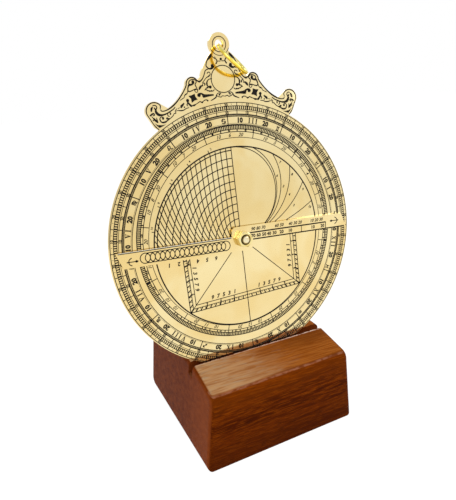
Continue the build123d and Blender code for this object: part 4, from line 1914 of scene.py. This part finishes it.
@dataclass
class HangingRing:
    """The ring of brass wire through the eyelet, its butt joint closed at the back."""

    centre: Vector = field(default_factory=lambda: Vector((4.020, -3.659, 215.358)))
    normal: Vector = field(default_factory=lambda: Vector((-0.589, 0.380, -0.714)).normalized())
    radius: float = 9.9
    wire: float = 0.95
    joint_at: float = 205.0
    joint_depth: float = 0.16
    body: str = "ring_body"
    slot: str = "ring_brass"

    def dress(self) -> None:
        """Bends the wire round and gives it its metal."""
        first = self.normal.orthogonal().normalized()
        second = self.normal.cross(first)
        rows: list[list[Vector]] = []
        around, across = 132, 20
        for i in range(around):
            angle = 360 * i / around
            away = abs((angle - self.joint_at + 180) % 360 - 180)
            wire = self.wire - (self.joint_depth if away < 1.0 else 0.0)
            turn = math.radians(angle)
            out = first * math.cos(turn) + second * math.sin(turn)
            rows.append(
                [
                    self.centre
                    + out * (self.radius + wire * math.cos(2 * math.pi * k / across))
                    + self.normal * (wire * math.sin(2 * math.pi * k / across))
                    for k in range(across)
                ]
            )
        # The ring gets a painted highlight where it looks up and painted shade where it looks down.
        brass = FittingBrass(
            "ring_brass",
            (250, 226, 100),
            (242, 208, 60),
            gloss=0.22,
            pale=(248, 240, 150),
            shade_and_tarnish=(234, 196, 36),
        )
        ring = skin("hanging_ring", rows, self.body, brass.material(), closed=True)
        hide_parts("suspension_ring")
        paint_node("suspension_ring", ring.data.materials[0])


@dataclass
class CentreFixings:
    """The bolt, its nut and the washers at the middle of the disc."""

    gloss: float = 0.16
    tarnish: float = 0.08

    def dress(self) -> None:
        """Gives each fixing its metal."""
        # Columns: solid, tone, warm tone, and where the painted shadow ring round the bolt starts and
        # ends.
        for node, tone, warm, shadow_ring_from, shadow_ring_to in (
            ("centre_bolt", (236, 226, 190), (232, 200, 96), 1.85, 2.9),
            ("hex_nut", (240, 223, 158), (228, 200, 112), 1.0, 3.0),
            ("alidade_washer", (238, 212, 144), (222, 190, 112), 50.0, 60.0),
            ("rule_washer", (238, 212, 144), (222, 190, 112), 50.0, 60.0),
        ):
            brass = FittingBrass(
                f"{node}_brass",
                tone,
                warm,
                gloss=self.gloss,
                tarnish=self.tarnish,
                shadow_ring_from=shadow_ring_from,
                shadow_ring_to=shadow_ring_to,
            )
            paint_node(node, brass.material())


@dataclass
class Block:
    """The hardwood block that holds the disc in its saw cut."""

    def dress(self) -> None:
        """Gives the block its wood."""
        paint_node("base_block", Hardwood().material())


# Studio


@dataclass
class Studio:
    """The floor, the surroundings, the lamps and the camera."""

    lens: float = 35.342
    azimuth: float = -24.781
    elevation: float = 20.88
    roll: float = -2.735
    away: float = 3.726
    shift_right: float = -0.0994
    shift_up: float = -0.0907
    scale: float = 75.0

    def camera(self) -> None:
        """Places the camera where the photograph was taken."""
        azimuth, elevation = math.radians(self.azimuth), math.radians(self.elevation)
        back = Vector(
            (
                math.sin(azimuth) * math.cos(elevation),
                -math.cos(azimuth) * math.cos(elevation),
                math.sin(elevation),
            )
        )
        level = Vector((0, 0, 1)).cross(back).normalized()
        plumb = back.cross(level)
        roll = math.radians(self.roll)
        right = level * math.cos(roll) + plumb * math.sin(roll)
        up = plumb * math.cos(roll) - level * math.sin(roll)
        place = HUB + (right * self.shift_right + up * self.shift_up + back * self.away) * self.scale
        data = bpy.data.cameras.new("camera")
        data.lens = self.lens
        data.clip_start = 0.01
        data.clip_end = 20.0
        camera = bpy.data.objects.new("camera", data)
        bpy.context.scene.collection.objects.link(camera)
        turned = Matrix((right, up, back)).transposed().to_4x4()
        camera.matrix_world = Matrix.Translation(place * MM) @ turned
        bpy.context.scene.camera = camera

    def lamp(self, name: str, place: Sequence[float], size: float, power: float, tint: Colour) -> None:
        """Adds a soft square lamp that faces the instrument.

        Args:
            name: Name of the lamp.
            place: Where it stands, in metres.
            size: Length of its side, in metres.
            power: Its power in watts.
            tint: Its colour.
        """
        data = bpy.data.lights.new(name, "AREA")
        data.shape = "SQUARE"
        data.size = size
        data.energy = power
        data.color = srgb(*tint)[:3]
        lamp = bpy.data.objects.new(name, data)
        bpy.context.scene.collection.objects.link(lamp)
        where = Vector(place)
        facing = (where - HUB * MM).to_track_quat("Z", "Y")
        lamp.matrix_world = Matrix.Translation(where) @ facing.to_matrix().to_4x4()

    def floor(self) -> None:
        """Lays the plain pale floor, which keeps the object's shadow."""
        half, low = 2.2, -0.0002
        mesh = bpy.data.meshes.new("floor")
        corners = [(-half, -half, low), (half, -half, low), (half, half, low), (-half, half, low)]
        mesh.from_pydata(corners, [], [(0, 1, 2, 3)])
        nodes = Nodes(self._bare("floor"))
        seen = nodes.background_share()
        matt = nodes.node("ShaderNodeBsdfDiffuse", {}, {"Color": srgb(238, 237, 234)})
        glow = nodes.node("ShaderNodeEmission", {}, {"Color": (1, 1, 1, 1), "Strength": 1.14})
        sockets = {0: seen * 0.82, 1: matt.outputs[0], 2: glow.outputs[0]}
        mixed = nodes.node("ShaderNodeMixShader", {}, sockets)
        nodes.node("ShaderNodeOutputMaterial", {}, {"Surface": mixed.outputs[0]})
        mesh.materials.append(bpy.data.materials["floor"])
        floor = bpy.data.objects.new("floor", mesh)
        bpy.context.scene.collection.objects.link(floor)

    @staticmethod
    def _bare(name: str) -> bpy.types.NodeTree:
        """Starts a material with no nodes and gives its tree."""
        material = bpy.data.materials.new(name)
        material.use_nodes = True
        material.node_tree.nodes.clear()
        return material.node_tree

    def surroundings(self) -> None:
        """Makes the white surroundings, softly graded where only metal shows them."""
        world = bpy.data.worlds.new("surroundings")
        bpy.context.scene.world = world
        world.use_nodes = True
        world.node_tree.nodes.clear()
        nodes = Nodes(world.node_tree)
        way = nodes.node("ShaderNodeTexCoord", {}, {}).outputs["Generated"]
        split = nodes.node("ShaderNodeSeparateXYZ", {}, {0: way}).outputs
        overhead = Value(nodes, split[2]).between(0.35, 0.85)
        flag = abs(Value(nodes, split[0])).between(0.72, 0.95)
        grey = 1 - 0.35 * overhead - 0.45 * flag
        path = nodes.node("ShaderNodeLightPath", {}, {}).outputs
        glossy = Value(nodes, path["Is Glossy Ray"])
        seen = nodes.background_share()
        strength = (1 - seen) * 0.6 + seen * (1 - glossy * (1 - grey))
        lit = nodes.node("ShaderNodeBackground", {}, {"Color": (1, 1, 1, 1), "Strength": strength})
        nodes.node("ShaderNodeOutputWorld", {}, {"Surface": lit.outputs[0]})

    def build(self) -> None:
        """Sets up the whole studio."""
        self.camera()
        self.floor()
        self.surroundings()
        self.lamp("key_lamp", (-0.75, -0.95, 1.05), 0.7, 9.0, (255, 252, 246))
        self.lamp("fill_lamp", (0.95, -0.75, 0.7), 0.8, 5.0, (250, 252, 255))
        self.lamp("back_lamp", (0.1, 1.1, 0.9), 0.8, 6.0, (255, 255, 255))
        bpy.context.scene.view_settings.view_transform = "Standard"
        LOG.info("studio: camera at %s", tuple(round(v, 4) for v in bpy.context.scene.camera.location))


def main() -> None:
    """Builds the pieces in order."""
    logging.basicConfig(level=logging.INFO, format="%(message)s")
    fill = Enamel().material()
    Studio().build()
    Block().dress()
    DialPlate().dress(fill)
    Alidade().dress(fill)
    FarSide().dress(fill)
    CentreFixings().dress()
    HangingRing().dress()


if __name__ == "__main__":
    main()
